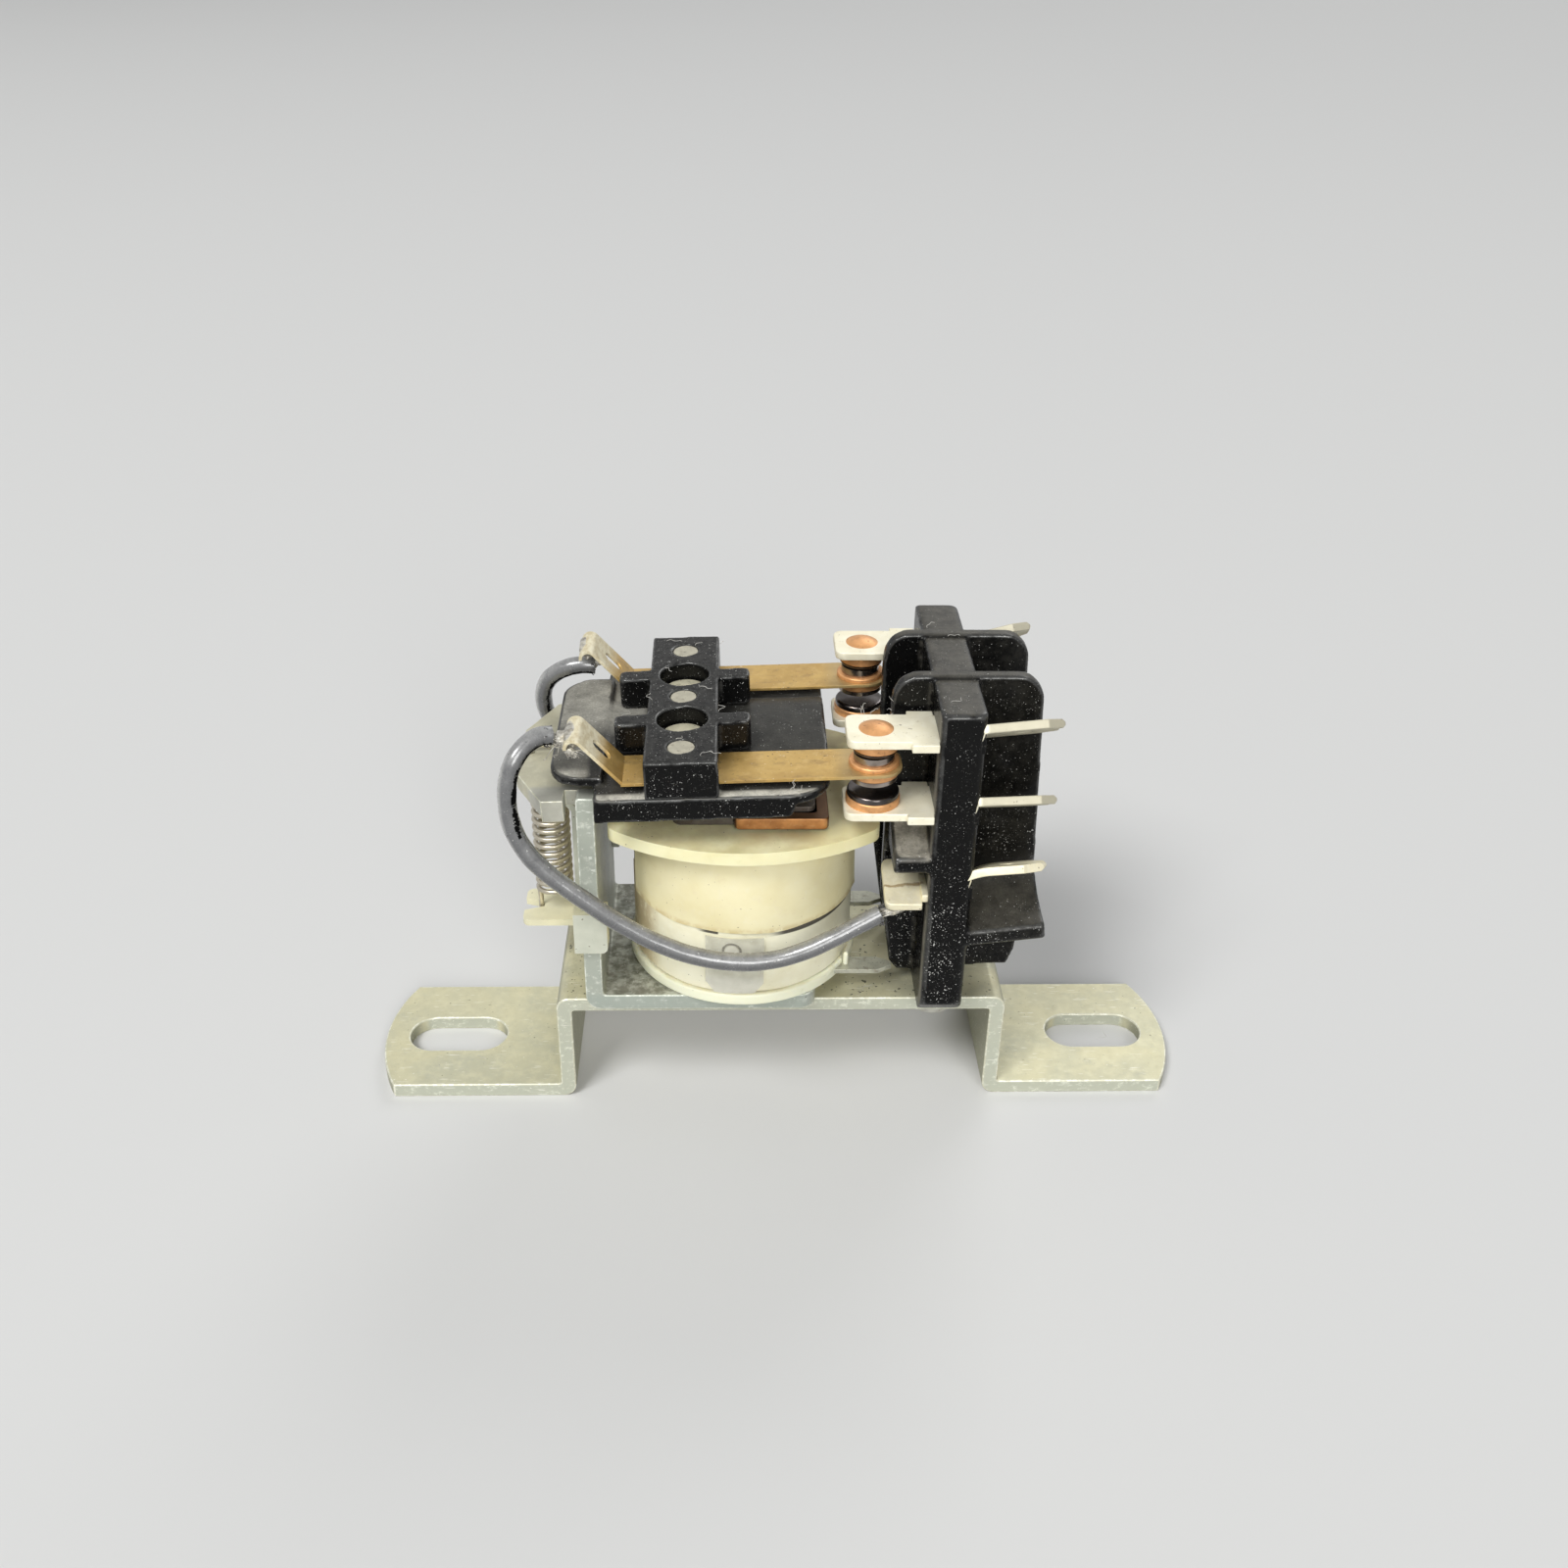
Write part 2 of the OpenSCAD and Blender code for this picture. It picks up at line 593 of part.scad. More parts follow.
// A tab outside the block: a short twisted neck and a blade with a chamfered tip
tab_neck = 1.3;
tab_tip = 1.7;
tab_root = 0.4;
module tab(rise) {
    blade = tab_l - tab_root - tab_neck;
    rotate([0, 90, 0]) rotate([0, 0, 90]) linear_extrude(tab_neck, twist = tab_twist, scale = [tab_w / tab_body_w, 1], slices = 8)
        square([tab_body_w, tab_t], center = true);
    translate([tab_neck, 0, 0]) rotate([-tab_twist, -rise, 0]) translate([-0.02, 0, -tab_t / 2]) {
        difference() {
            linear_extrude(tab_t) polygon([
                [0, -tab_w / 2], [blade - tab_tip, -tab_w / 2], [blade, -tab_w / 4],
                [blade, tab_w / 4], [blade - tab_tip, tab_w / 2], [0, tab_w / 2]
            ]);
            translate([blade - 3.4, 0, -past]) cylinder(h = tab_t + 2 * past, d = 1.6, $fn = 24);
            for (f = [0, 1]) translate([blade, 0, f * tab_t]) mirror([0, 0, f])
                rotate([0, 0, 0]) translate([0, -tab_w, 0]) rotate([-90, 0, 0]) mirror([1, 0, 0])
                linear_extrude(2 * tab_w) polygon([[-past, past], [1.2, past], [1.2, 0], [0, -0.22], [-past, -0.22]]);
        }
    }
}

// A contact terminal, on the axis of its pole: contact end, step, body in the block, twisted tab
rivet_shank_d = 1.9;
end_reach = 2.65;        // from the contact to the end of the terminal
step_x = 2.4;            // from the block's inner face back to the step in width
module contact_terminal(rise) {
    x0 = contact_x - end_reach;
    x1 = block_x1 + tab_root;
    difference() {
        linear_extrude(tab_t) union() {
            translate([block_x0 - step_x, -tab_body_w / 2]) square([x1 - block_x0 + step_x, tab_body_w]);
            difference() {
                translate([x0, -contact_end_w / 2]) square([block_x0 - step_x - x0 + fit, contact_end_w]);
                translate([x0, -contact_end_w / 2]) corner(0.9);
                translate([x0, contact_end_w / 2]) rotate(-90) corner(0.9);
            }
            translate([block_x0 - step_x, -tab_w / 2]) square([step_x - fit, tab_w]);
        }
        translate([contact_x, 0, -past]) cylinder(h = tab_t + 2 * past, d = rivet_shank_d + 2 * fit, $fn = 32);
    }
    translate([x1, 0, tab_t / 2]) tab(rise);
}
module pole_side(s) {
    translate([0, s * pole_y, 0]) children();
}
tab_colour = "#c6c3b4";
module front_nc_terminal() color(tab_colour) pole_side(-1) translate([0, 0, nc_z]) contact_terminal(6);
module rear_nc_terminal() color(tab_colour) pole_side(1) translate([0, 0, nc_z]) contact_terminal(16);
module front_no_terminal() color(tab_colour) pole_side(-1) translate([0, 0, no_z]) contact_terminal(2.5);
module rear_no_terminal() color(tab_colour) pole_side(1) translate([0, 0, no_z]) contact_terminal(2.5);

// A common terminal: a solder lug tilted down towards its own side, a joggled body in the block, twisted tab
lug_l = 3.9;
lug_tilt = 12;
lug_w = 5.9;
lug_root = 0.5;
lug_z = com_z - com_joggle + tab_t / 2;
com_x1 = block_x1 + tab_root;
// The body seen along Y, longer by extra at both ends where it cuts the block's slot
module com_side(extra) {
    ramp = block_t / 5;
    polygon([
        [block_x0 - lug_root - extra, -com_joggle], [block_x0 + ramp, -com_joggle], [block_x1 - ramp, 0],
        [com_x1 + extra, 0], [com_x1 + extra, tab_t], [block_x1 - ramp, tab_t],
        [block_x0 + ramp, tab_t - com_joggle], [block_x0 - lug_root - extra, tab_t - com_joggle]
    ]);
}
module com_terminal(side) {
    upright(tab_body_w) com_side(0);
    translate([block_x0 - lug_root + fit, 0, tab_t / 2 - com_joggle]) rotate([-side * lug_tilt, 0, 0])
        translate([-lug_l + lug_root, 0, -tab_t / 2]) linear_extrude(tab_t) difference() {
            translate([0, -lug_w / 2]) square([lug_l - lug_root, lug_w]);
            translate([0, -lug_w / 2]) corner(0.7);
            translate([0, lug_w / 2]) rotate(-90) corner(0.7);
        }
    translate([com_x1, 0, tab_t / 2]) tab(com_rise);
}
com_rise = 22;
module front_com_terminal() color(tab_colour) pole_side(-1) translate([0, 0, com_z]) com_terminal(-1);
module rear_com_terminal() color(tab_colour) pole_side(1) translate([0, 0, com_z]) com_terminal(1);

// Contacts: copper rivets with silver faces
rivet_head_d = 3.1;
rivet_head_h = 0.45;
edge_r = 0.2;
// A disc with a rounded rim at its top
module soft_disc(d, h, r) {
    rotate_extrude($fn = 64) difference() {
        square([d / 2, h]);
        translate([d / 2, h]) rotate(180) corner(r);
    }
}
// A low domed head
module dome(d, h) {
    r = (d * d / 4 + h * h) / (2 * h);
    intersection() {
        cylinder(h = h, d = d, $fn = 64);
        translate([0, 0, h - r]) sphere(r, $fn = 96);
    }
}
// A fixed contact that stands on the face of its terminal at z = 0, its rivet head below
module fixed_contact(d, h, face_t) {
    soft_disc(d, h - face_t - fit, edge_r);
    translate([0, 0, -tab_t - fit]) cylinder(h = tab_t + 2 * fit, d = rivet_shank_d, $fn = 32);
    translate([0, 0, -tab_t - fit]) mirror([0, 0, 1]) dome(rivet_head_d, rivet_head_h);
}
module fixed_face(d, h, face_t) {
    translate([0, 0, h - face_t]) soft_disc(0.96 * d, face_t, 1.4 * edge_r);
}
module at_contact(z) {
    both_poles() translate([contact_x, 0, z]) children();
}
module nc_contacts() color("#b07248") at_contact(nc_z - fit) mirror([0, 0, 1]) fixed_contact(nc_d, nc_h, nc_silver_t);
module nc_contact_faces() color("#77736e") at_contact(nc_z - fit) mirror([0, 0, 1]) fixed_face(nc_d, nc_h, nc_silver_t);
module no_contacts() color("#b07248") at_contact(no_z + tab_t + fit) fixed_contact(no_d, no_h, silver_t);
module no_contact_faces() color("#77736e") at_contact(no_z + tab_t + fit) fixed_face(no_d, no_h, silver_t);

// The moving contacts ride on the ends of the blades. Their place is chosen so that the open ones are in line.
moving_x = contact_x + (blade_z - arm_z) * sin(open_angle);
moving_top_d = moving_d - 0.6;
contact_dome = 0.15;
module moving_body() {
    for (up = [0, 1]) translate([0, 0, up * blade_t]) mirror([0, 0, 1 - up]) translate([0, 0, fit])
        soft_disc(moving_d, moving_h - (up == 1 ? cap_t : silver_t) - 2 * fit, edge_r);
    translate([0, 0, -2 * fit]) cylinder(h = blade_t + 4 * fit, d = rivet_shank_d, $fn = 32);
}
module moving_face(d, face_t) {
    r = 0.47 * d;
    ball = (r * r + contact_dome * contact_dome) / (2 * contact_dome);
    translate([0, 0, moving_h - face_t]) rotate_extrude($fn = 64) intersection() {
        square([r, face_t]);
        translate([0, face_t - ball]) circle(ball, $fn = 256);
    }
}
module moving_contacts() color("#b07248") opened() both_poles() translate([moving_x, 0, blade_z]) moving_body();
module moving_contact_faces() color("#77736e") opened() both_poles() translate([moving_x, 0, blade_z]) {
    translate([0, 0, blade_t]) moving_face(moving_top_d, cap_t);
    mirror([0, 0, 1]) moving_face(moving_d, silver_t);
}

// Spring bracket: a sheet clip on the leg with ears, a forked spring seat and a backstop for the armature
fork_z = frame_z + 5;
fork_w = 5.4;
fork_l = 5.8;
fork_notch = 1.9;
clip_w = 13;
ear_z = fork_z + 2.2;
ear_h = 4.4;
stop_rise = 1.2;
module clip_profile() {
    x = frame_x - fit - clip_t;
    stop_z = arm_z - stop_rise;
    translate([x, fork_z]) square([clip_t, stop_z - fork_z]);
    translate([x, stop_z]) polygon([
        [0, 0], [clip_t, 0], [clip_t, 0.2], [-0.1, stop_rise - 0.22], [-0.75, stop_rise - 0.3]
    ]);
}
module spring_bracket() color("#a7aaa0") {
    x = frame_x - fit - clip_t;
    ear_out = frame_w / 2 + fit + clip_t;
    difference() {
        union() {
            upright(clip_w) clip_profile();
            // the forked seat of the spring
            translate([x - fork_l, 0, fork_z]) linear_extrude(clip_t) difference() {
                translate([0, -fork_w / 2]) square([fork_l + clip_t, fork_w]);
                polygon([[-past, -1.2], [0, -1.0], [fork_notch, -0.35], [fork_notch, 0.35], [0, 1.0], [-past, 1.2]]);
                translate([0, -fork_w / 2]) corner(0.7);
                translate([0, fork_w / 2]) rotate(-90) corner(0.7);
            }
            // the ears that grip the edges of the leg
            translate([0, 0, ear_z]) linear_extrude(ear_h) union() {
                translate([x, -ear_out]) square([clip_t, 2 * ear_out]);
                for (s = [0, 1]) mirror([0, s]) translate([x, ear_out - clip_t]) difference() {
                    square([frame_t + 2 * clip_t + 2 * fit, clip_t]);
                    translate([0, clip_t]) rotate(-90) corner(0.4);
                }
                for (s = [0, 1]) mirror([0, s]) translate([leg_in + fit, frame_w / 2 - 1.5]) square([clip_t, 1.6]);
            }
        }
        for (s = [-1, 1]) translate([leg_in + fit + clip_t, s * ear_out, ear_z]) rotate([90, 0, 0])
            translate([0, 0, -clip_t - past]) linear_extrude(2 * clip_t + 2 * past) rotate(90) corner(0.6);
    }
}

// Return spring: close turns with a hook at each end, in one piece of wire
coil_r = (spring_d - wire_d) / 2;
spring_z0 = fork_z + clip_t + 2.3;
steps = 8;
turns_z = [for (i = [0 : steps * spring_turns]) spring_z0 + spring_pitch * i / steps];
turns = [
    for (i = [0 : steps * spring_turns])
        [spring_x - coil_r * cos(360 * i / steps), -coil_r * sin(360 * i / steps), turns_z[i]]
];
spring_z1 = spring_z0 + spring_pitch * spring_turns;
hook_x = spring_x - coil_r + 0.15;
hook_top = arm_top + 0.35;
hook_low = fork_z - 0.33;
low_hook = [
    [hook_x + 1.9, 0, hook_low - 0.05], [hook_x + 1.1, 0, hook_low - 0.3], [hook_x + 0.35, 0, hook_low - 0.05],
    [hook_x, 0, hook_low + 0.6], [hook_x, 0, fork_z + clip_t + 0.8], [hook_x - 0.05, 0, spring_z0 - 0.7]
];
top_hook = [
    [hook_x - 0.05, 0, spring_z1 + 0.7], [hook_x, 0, hook_top - 1.6], [hook_x, 0, hook_top - 0.6],
    [hook_x + 0.35, 0, hook_top - 0.05], [hook_x + 1.1, 0, hook_top + 0.15], [hook_x + 1.9, 0, hook_top - 0.05]
];
spring_path = concat(low_hook, turns, top_hook);
// The least distance between two turns, measured on the points of the path, less the wire
turn_gap = min([
    for (i = [0 : len(turns) - 1], j = [i + steps / 2 : len(turns) - 1])
        if (j < i + 2 * steps) norm(turns[i] - turns[j])
]) - wire_d;
echo(least_gap_between_spring_turns = turn_gap);
module return_spring() color("#bdb9b0") tube(spring_path, wire_d, 6, [0, 1, 0]);

// Armature: the iron plate that rocks on the leg's outer top edge, with the tail that the spring pulls
neck_w = seat_w - 0.4;
lobe_w = frame_w - 0.4;
arm_x1 = core_x + pole_l / 2 - 0.6;
module armature_outline() {
    tail_x = frame_x - clip_t - tail_l + 0.7;
    out_x = frame_x - 1.05;
    polygon([
        [arm_x1, -arm_w / 2], [arm_x1, arm_w / 2], [leg_in + 0.4, arm_w / 2], [leg_in + 0.4, neck_w / 2],
        [out_x, neck_w / 2], [out_x, lobe_w / 2], [out_x - 2, lobe_w / 2], [tail_x, tail_w / 2],
        [tail_x, 1.1], [tail_x + 1.35, 0.35], [tail_x + 1.35, -0.35], [tail_x, -1.1],
        [tail_x, -tail_w / 2], [out_x - 2, -lobe_w / 2], [out_x, -lobe_w / 2], [out_x, -neck_w / 2],
        [leg_in + 0.4, -neck_w / 2], [leg_in + 0.4, -arm_w / 2]
    ]);
}
module armature() color("#a9aa9a") opened() {
    difference() {
        union() {
            translate([0, 0, arm_z]) linear_extrude(arm_t) armature_outline();
            // the turned down side lobes of the tail
            for (s = [-1, 1]) translate([frame_x - 1.05 - 2, s * (lobe_w / 2 - 0.5) - 0.5, arm_z - 0.55]) cube([2, 1, 0.6]);
        }
        for (s = [-1, 1]) translate([clamp_x, s * deep_spacing / 2, 0])
            cylinder(h = clamp_z, d = rivet_shank + 2 * fit, $fn = 32);
    }
}

// Armature carrier: the black moulding on the armature that holds the blades
end_r = 3.8;
ear_l = 4.8;
ear_w = 19.3;
ear_t = 0.9;
ear_r = 3;
skirt_t = 1.2;
skirt_l = 17.6;
pad_l = clamp_l;
module carrier_plan() {
    mid = (carrier_x0 + carrier_x1) / 2;
    l = carrier_x1 - carrier_x0;
    difference() {
        translate([mid, 0]) square([l, carrier_w], center = true);
        translate([carrier_x1, carrier_w / 2]) rotate(180) corner(end_r);
        translate([carrier_x1, -carrier_w / 2]) rotate(90) corner(end_r);
        translate([carrier_x0, carrier_w / 2]) rotate(-90) corner(0.6);
        translate([carrier_x0, -carrier_w / 2]) corner(0.6);
    }
}
// The low crown of the rib, seen along X
module crown_2d(w, h) {
    r = (w * w / 4 + h * h) / (2 * h);
    intersection() {
        translate([-w / 2, 0]) square([w, h]);
        translate([0, h - r]) circle(r, $fn = 256);
    }
}
module armature_carrier() color("#1f1f1f") opened() difference() {
    union() {
        translate([0, 0, deck_z - carrier_t]) linear_extrude(carrier_t) carrier_plan();
        // the rib, a low step with a crown
        translate([carrier_x0, 0, deck_z]) rotate([90, 0, 90]) linear_extrude(carrier_x1 - carrier_x0) union() {
            translate([-rib_w / 2, -0.1]) square([rib_w, 0.1 + rib_h / 2]);
            translate([0, rib_h / 2]) crown_2d(rib_w, rib_h / 2);
        }
        // the skirt along the front and the back
        for (s = [0, 1]) mirror([0, s, 0]) translate([carrier_x0, carrier_w / 2, deck_z - carrier_t - skirt_h])
            rotate([90, 0, 0]) linear_extrude(skirt_t) difference() {
                square([skirt_l, skirt_h + 0.1]);
                translate([skirt_l, 0]) rotate(90) corner(0.9);
            }
        // the body over the armature plate
        translate([carrier_x0 + 0.5, -arm_w / 2, arm_top + fit]) cube([arm_x1 - carrier_x0 - 1, arm_w, deck_gap]);
        // the pads under the blades
        for (s = [-1, 1]) translate([clamp_x, s * pole_y, deck_z - 0.1 + (blade_rise + 0.1) / 2 - fit / 2])
            cube([pad_l, blade_w + 0.4, blade_rise + 0.1 - fit], center = true);
        // the ear that reaches back over the hinge
        translate([0, 0, deck_z + 0.75 - ear_t]) linear_extrude(ear_t) difference() {
            translate([carrier_x0 - ear_l + 0.7, -ear_w / 2]) square([ear_l, ear_w]);
            translate([carrier_x0 - ear_l + 0.7, ear_w / 2]) rotate(-90) corner(ear_r);
            translate([carrier_x0 - ear_l + 0.7, -ear_w / 2]) corner(ear_r);
        }
        translate([carrier_x0, -ear_w / 2, deck_z - carrier_t]) cube([0.7, ear_w, carrier_t + 0.75]);
    }
    for (s = [-1, 1]) translate([clamp_x, s * deep_spacing / 2, 0]) cylinder(h = clamp_z, d = rivet_shank + 2 * fit, $fn = 32);
    for (y = small_y) translate([clamp_x, y, rivet_z0 - fit]) cylinder(h = clamp_z, d = clamp_rivet_d + 2 * fit, $fn = 32);
}

// Blade clamp: the cross bar over the blades, with two deep holes and four side lugs
rivet_shank = 2.4;
small_y = [-9.5, 0, 9.5];
rivet_z0 = deck_z - carrier_t - 0.6;
deep_seat = 1.25;        // height of the deep holes' floor above the carrier's top plate
lug_reach = 2.9;
lug_wide = 1.9;
module blade_clamp() color("#1b1b1b") opened() difference() {
    union() {
        translate([clamp_x - clamp_l / 2, -carrier_w / 2, blade_z + blade_t + fit])
            cube([clamp_l, carrier_w, clamp_z - blade_z - blade_t - fit]);
        // the foot between the blades
        translate([clamp_x - clamp_l / 2, -(pole_y - blade_w / 2 - 0.35), deck_z + rib_h + fit])
            cube([clamp_l, 2 * (pole_y - blade_w / 2 - 0.35), clamp_z - deck_z - rib_h - fit]);
        // the end walls outside the blades
        for (s = [0, 1]) mirror([0, s, 0]) translate([clamp_x - clamp_l / 2, pole_y + blade_w / 2 + 0.35, deck_z + fit])
            cube([clamp_l, carrier_w / 2 - pole_y - blade_w / 2 - 0.35, clamp_z - deck_z - fit]);
        // the side lugs
        for (s = [-1, 1]) translate([clamp_x, s * deep_spacing / 2, deck_z + rib_h + fit])
            linear_extrude(clamp_z - deck_z - rib_h - fit) round_rect(clamp_l + 2 * lug_reach, lug_wide, 0.6);
    }
    for (s = [-1, 1]) translate([clamp_x, s * deep_spacing / 2, 0]) {
        cylinder(h = clamp_z + past, d = rivet_shank + 2 * fit, $fn = 32);
        translate([0, 0, deck_z + deep_seat]) cylinder(h = clamp_h, d = deep_d, $fn = 48);
    }
    for (y = small_y) translate([clamp_x, y, 0]) cylinder(h = clamp_z + past, d = clamp_rivet_d + 2 * fit, $fn = 32);
}

// Small rivets through the clamp, the blades and the carrier
module clamp_rivets() color("#a5a39a") opened() {
    for (y = small_y) translate([clamp_x, y, rivet_z0]) cylinder(h = clamp_z - rivet_z0 - 0.12, d = clamp_rivet_d, $fn = 32);
}

// Rivets in the deep holes, that hold the carrier to the armature plate
module armature_rivets() color("#b5b1a2") opened() {
    for (s = [-1, 1]) translate([clamp_x, s * deep_spacing / 2, 0]) {
        translate([0, 0, arm_z + fit]) cylinder(h = deck_z + deep_seat - arm_z, d = rivet_shank, $fn = 32);
        translate([0, 0, deck_z + deep_seat + fit]) soft_disc(deep_d - 0.4, 0.8, 0.3);
    }
}

// Contact blades: flat springs with a bent-up solder lug at one end and the contacts at the other
lug_x = clamp_x - clamp_l / 2 - 2.1;
lug_angle = 50;
lug_slope = 5.4;
blade_lug_w = 4.5;
curl_r = 0.85;
blade_end = 2.45;
module blade(side) {
    x1 = moving_x + blade_end;
    difference() {
        linear_extrude(blade_t) union() {
            translate([lug_x, -blade_w / 2]) square([x1 - lug_x - 2, blade_w]);
            translate([x1 - 2.3, 0]) round_rect(4.6, blade_w, 1.9);
        }
        translate([moving_x, 0, -past]) cylinder(h = 2 * past, d = rivet_shank_d + 2 * fit, $fn = 32);
        translate([clamp_x, side * (small_y[2] - pole_y), -past]) cylinder(h = 2 * past, d = clamp_rivet_d + 2 * fit, $fn = 32);
    }
    translate([lug_x, 0, 0]) rotate([0, lug_angle, 0]) {
        difference() {
            translate([-lug_slope, -blade_lug_w / 2, 0]) cube([lug_slope, blade_lug_w, blade_t]);
            translate([-lug_slope / 2 - 0.2, 0, 0]) slot_hole(2.2, 1.2, 4 * blade_t);
        }
        // the curl that holds the pigtail
        translate([-lug_slope, blade_lug_w / 2, -curl_r + blade_t]) rotate([90, 0, 0]) rotate([0, 0, 90])
            rotate_extrude(angle = 150, $fn = 48) translate([curl_r - blade_t, 0]) square([blade_t, blade_lug_w]);
    }
}
module front_blade() color("#a98f5c") opened() pole_side(-1) translate([0, 0, blade_z]) blade(-1);
module rear_blade() color("#a98f5c") opened() pole_side(1) translate([0, 0, blade_z]) blade(1);

// A tapered bundle of soldered strands from point a to point b
module strands(a, b, d1, d2) {
    v = b - a;
    translate(a) rotate([0, acos(v[2] / norm(v)), atan2(v[1], v[0])]) cylinder(h = norm(v), d1 = d1, d2 = d2, $fn = 24);
}

// Solder on the lugs of the blades: a fillet inside the curl and the strands that run to the pigtail
curl_x = lug_x - lug_slope * cos(lug_angle) - (curl_r - blade_t) * sin(lug_angle);
curl_z = blade_z + lug_slope * sin(lug_angle) - (curl_r - blade_t) * cos(lug_angle);
strand_out = 0.82;
module blade_solder() color("#cfcabd") {
    opened() both_poles() translate([curl_x, 0, curl_z]) rotate([90, 0, 0])
        cylinder(h = blade_lug_w - 1, r = curl_r - blade_t - fit, center = true, $fn = 32);
    opened() pole_side(-1)
        strands([curl_x - curl_r - strand_out, 0, curl_z + 0.15], [curl_x - curl_r - fit, 0, curl_z + 0.05], pigtail_d - 0.3, 1.1);
    opened() pole_side(1)
        strands([curl_x + 0.8, 0.6, curl_z - 1.95], [curl_x + 1.3, 0.3, curl_z - 1.4], 1.1, 0.8);
}

// Solder under the lugs of the common terminals, with the strands that come from the pigtails
strand_reach = 2.6;      // from the block's inner face back to the solder's end
strand_l = 1.55;
strand_d = 0.9;
strand_side = 2.1;       // from the pole's axis out to the solder's end
solder_x = block_x0 - strand_reach;
solder_z = lug_z - strand_side * tan(lug_tilt) - tab_t / 2 / cos(lug_tilt) - strand_d / 2 - 2 * fit;
solder_y = pole_y + strand_side;
strand_start = [solder_x - strand_l, solder_y + 0.3, solder_z - 0.28];
module terminal_solder() color("#cfcabd") {
    for (s = [0, 1]) mirror([0, s, 0]) {
        strands(strand_start, [solder_x, solder_y, solder_z], pigtail_d - 0.3, strand_d);
        translate([solder_x, solder_y, solder_z]) sphere(d = strand_d, $fn = 24);
    }
}

// Pigtails: insulated flexible leads from the blades, round the coil, to the common terminals
pigtail_end = strand_start + [-0.1, 0.02, -0.02];
front_route = [
    [-20.6, -8.65, 42.0], [-21.6, -9.0, 42.08], [-22.5, -9.6, 41.8], [-23.3, -10.3, 41.2],
    [-23.95, -10.9, 40.2], [-24.35, -11.2, 38.9], [-24.5, -11.4, 37.4], [-24.45, -11.6, 35.9],
    [-24.15, -11.8, 34.4], [-23.55, -12.0, 32.95], [-22.5, -12.25, 31.35], [-20.7, -12.5, 29.5],
    [-18.15, -12.75, 27.4], [-15.2, -13.0, 25.1], [-11.7, -13.2, 22.95], [-8.1, -13.3, 21.45],
    [-4.6, -13.3, 20.8], [-1.4, -13.2, 20.9], [1.5, -12.9, 21.6], [4.4, -12.35, 22.75],
    [6.8, -11.65, 23.75], [pigtail_end[0], -pigtail_end[1], pigtail_end[2]]
];
rear_route = [
    [-18.2, 9.5, 39.75], [-19.6, 9.45, 39.8], [-20.9, 9.5, 39.5], [-22.0, 9.6, 38.9],
    [-22.9, 9.75, 38.0], [-23.4, 9.9, 36.8], [-23.5, 10.1, 35.5], [-23.3, 10.4, 34.1],
    [-22.8, 10.8, 32.6], [-21.8, 11.3, 30.9], [-20.2, 11.9, 29.0], [-18.0, 12.4, 27.2],
    [-15.2, 12.8, 25.4], [-12.0, 13.1, 23.8], [-8.6, 13.3, 22.5], [-5.0, 13.35, 21.7],
    [-1.6, 13.2, 21.4], [1.5, 12.9, 21.8], [4.4, 12.35, 22.7], [6.8, 11.65, 23.7], pigtail_end
];
module front_pigtail() color("#3a3b3d") tube(smooth(front_route, 2), pigtail_d, 8, [0, 1, 0]);
module rear_pigtail() color("#3a3b3d") tube(smooth(rear_route, 2), pigtail_d, 8, [0, 1, 0]);

mounting_bracket();
magnet_frame();
core();
shading_ring();
bobbin();
coil_winding();
upper_label();
lower_label();
tape_patch();
coil_terminals();
coil_leads();
terminal_block();
block_screws();
front_nc_terminal();
rear_nc_terminal();
front_no_terminal();
rear_no_terminal();
front_com_terminal();
rear_com_terminal();
nc_contacts();
nc_contact_faces();
no_contacts();
no_contact_faces();
spring_bracket();
return_spring();
armature();
armature_carrier();
blade_clamp();
clamp_rivets();
armature_rivets();
front_blade();
rear_blade();
moving_contacts();
moving_contact_faces();
blade_solder();
terminal_solder();
front_pigtail();
rear_pigtail();
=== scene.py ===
"""Looks of the two-pole relay: finishes, rounded edges, pigtails, spring, labels, solder strands and dust.

Lengths are in millimetres, as in the part's source, and are turned to metres where a mesh is made.
"""

import math
import random

import bpy
from mathutils import Matrix, Vector
from mathutils.geometry import delaunay_2d_cdt


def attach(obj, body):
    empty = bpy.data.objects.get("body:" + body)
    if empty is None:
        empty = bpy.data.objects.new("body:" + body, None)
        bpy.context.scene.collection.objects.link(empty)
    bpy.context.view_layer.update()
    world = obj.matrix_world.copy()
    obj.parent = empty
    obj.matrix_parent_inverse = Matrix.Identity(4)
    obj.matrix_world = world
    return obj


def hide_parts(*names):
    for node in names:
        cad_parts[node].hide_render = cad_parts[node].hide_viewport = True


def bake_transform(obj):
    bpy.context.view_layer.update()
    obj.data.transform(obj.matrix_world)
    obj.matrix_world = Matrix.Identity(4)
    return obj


MM = 0.001
ROOT = "root"
ARMATURE = "armature_assembly"

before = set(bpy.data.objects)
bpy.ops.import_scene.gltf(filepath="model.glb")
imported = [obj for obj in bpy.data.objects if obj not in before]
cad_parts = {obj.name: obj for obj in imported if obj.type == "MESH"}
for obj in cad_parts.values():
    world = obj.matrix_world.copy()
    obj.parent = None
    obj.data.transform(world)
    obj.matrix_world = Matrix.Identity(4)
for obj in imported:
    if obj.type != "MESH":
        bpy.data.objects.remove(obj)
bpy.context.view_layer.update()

# ---------------------------------------------------------------- sizes from the part's source
OPEN_ANGLE = math.radians(2.1)
PIVOT = Vector((-18.85, 0.0, 34.08))
CORE_X = -3.8
CONTACT_X = 7.7
POLE_Y = 8.65
SPRING_X, SPRING_D, WIRE_D, SPRING_PITCH, SPRING_TURNS = -22.3, 3.7, 0.5, 0.87, 13
FORK_Z, CLIP_T = 17.3, 0.7
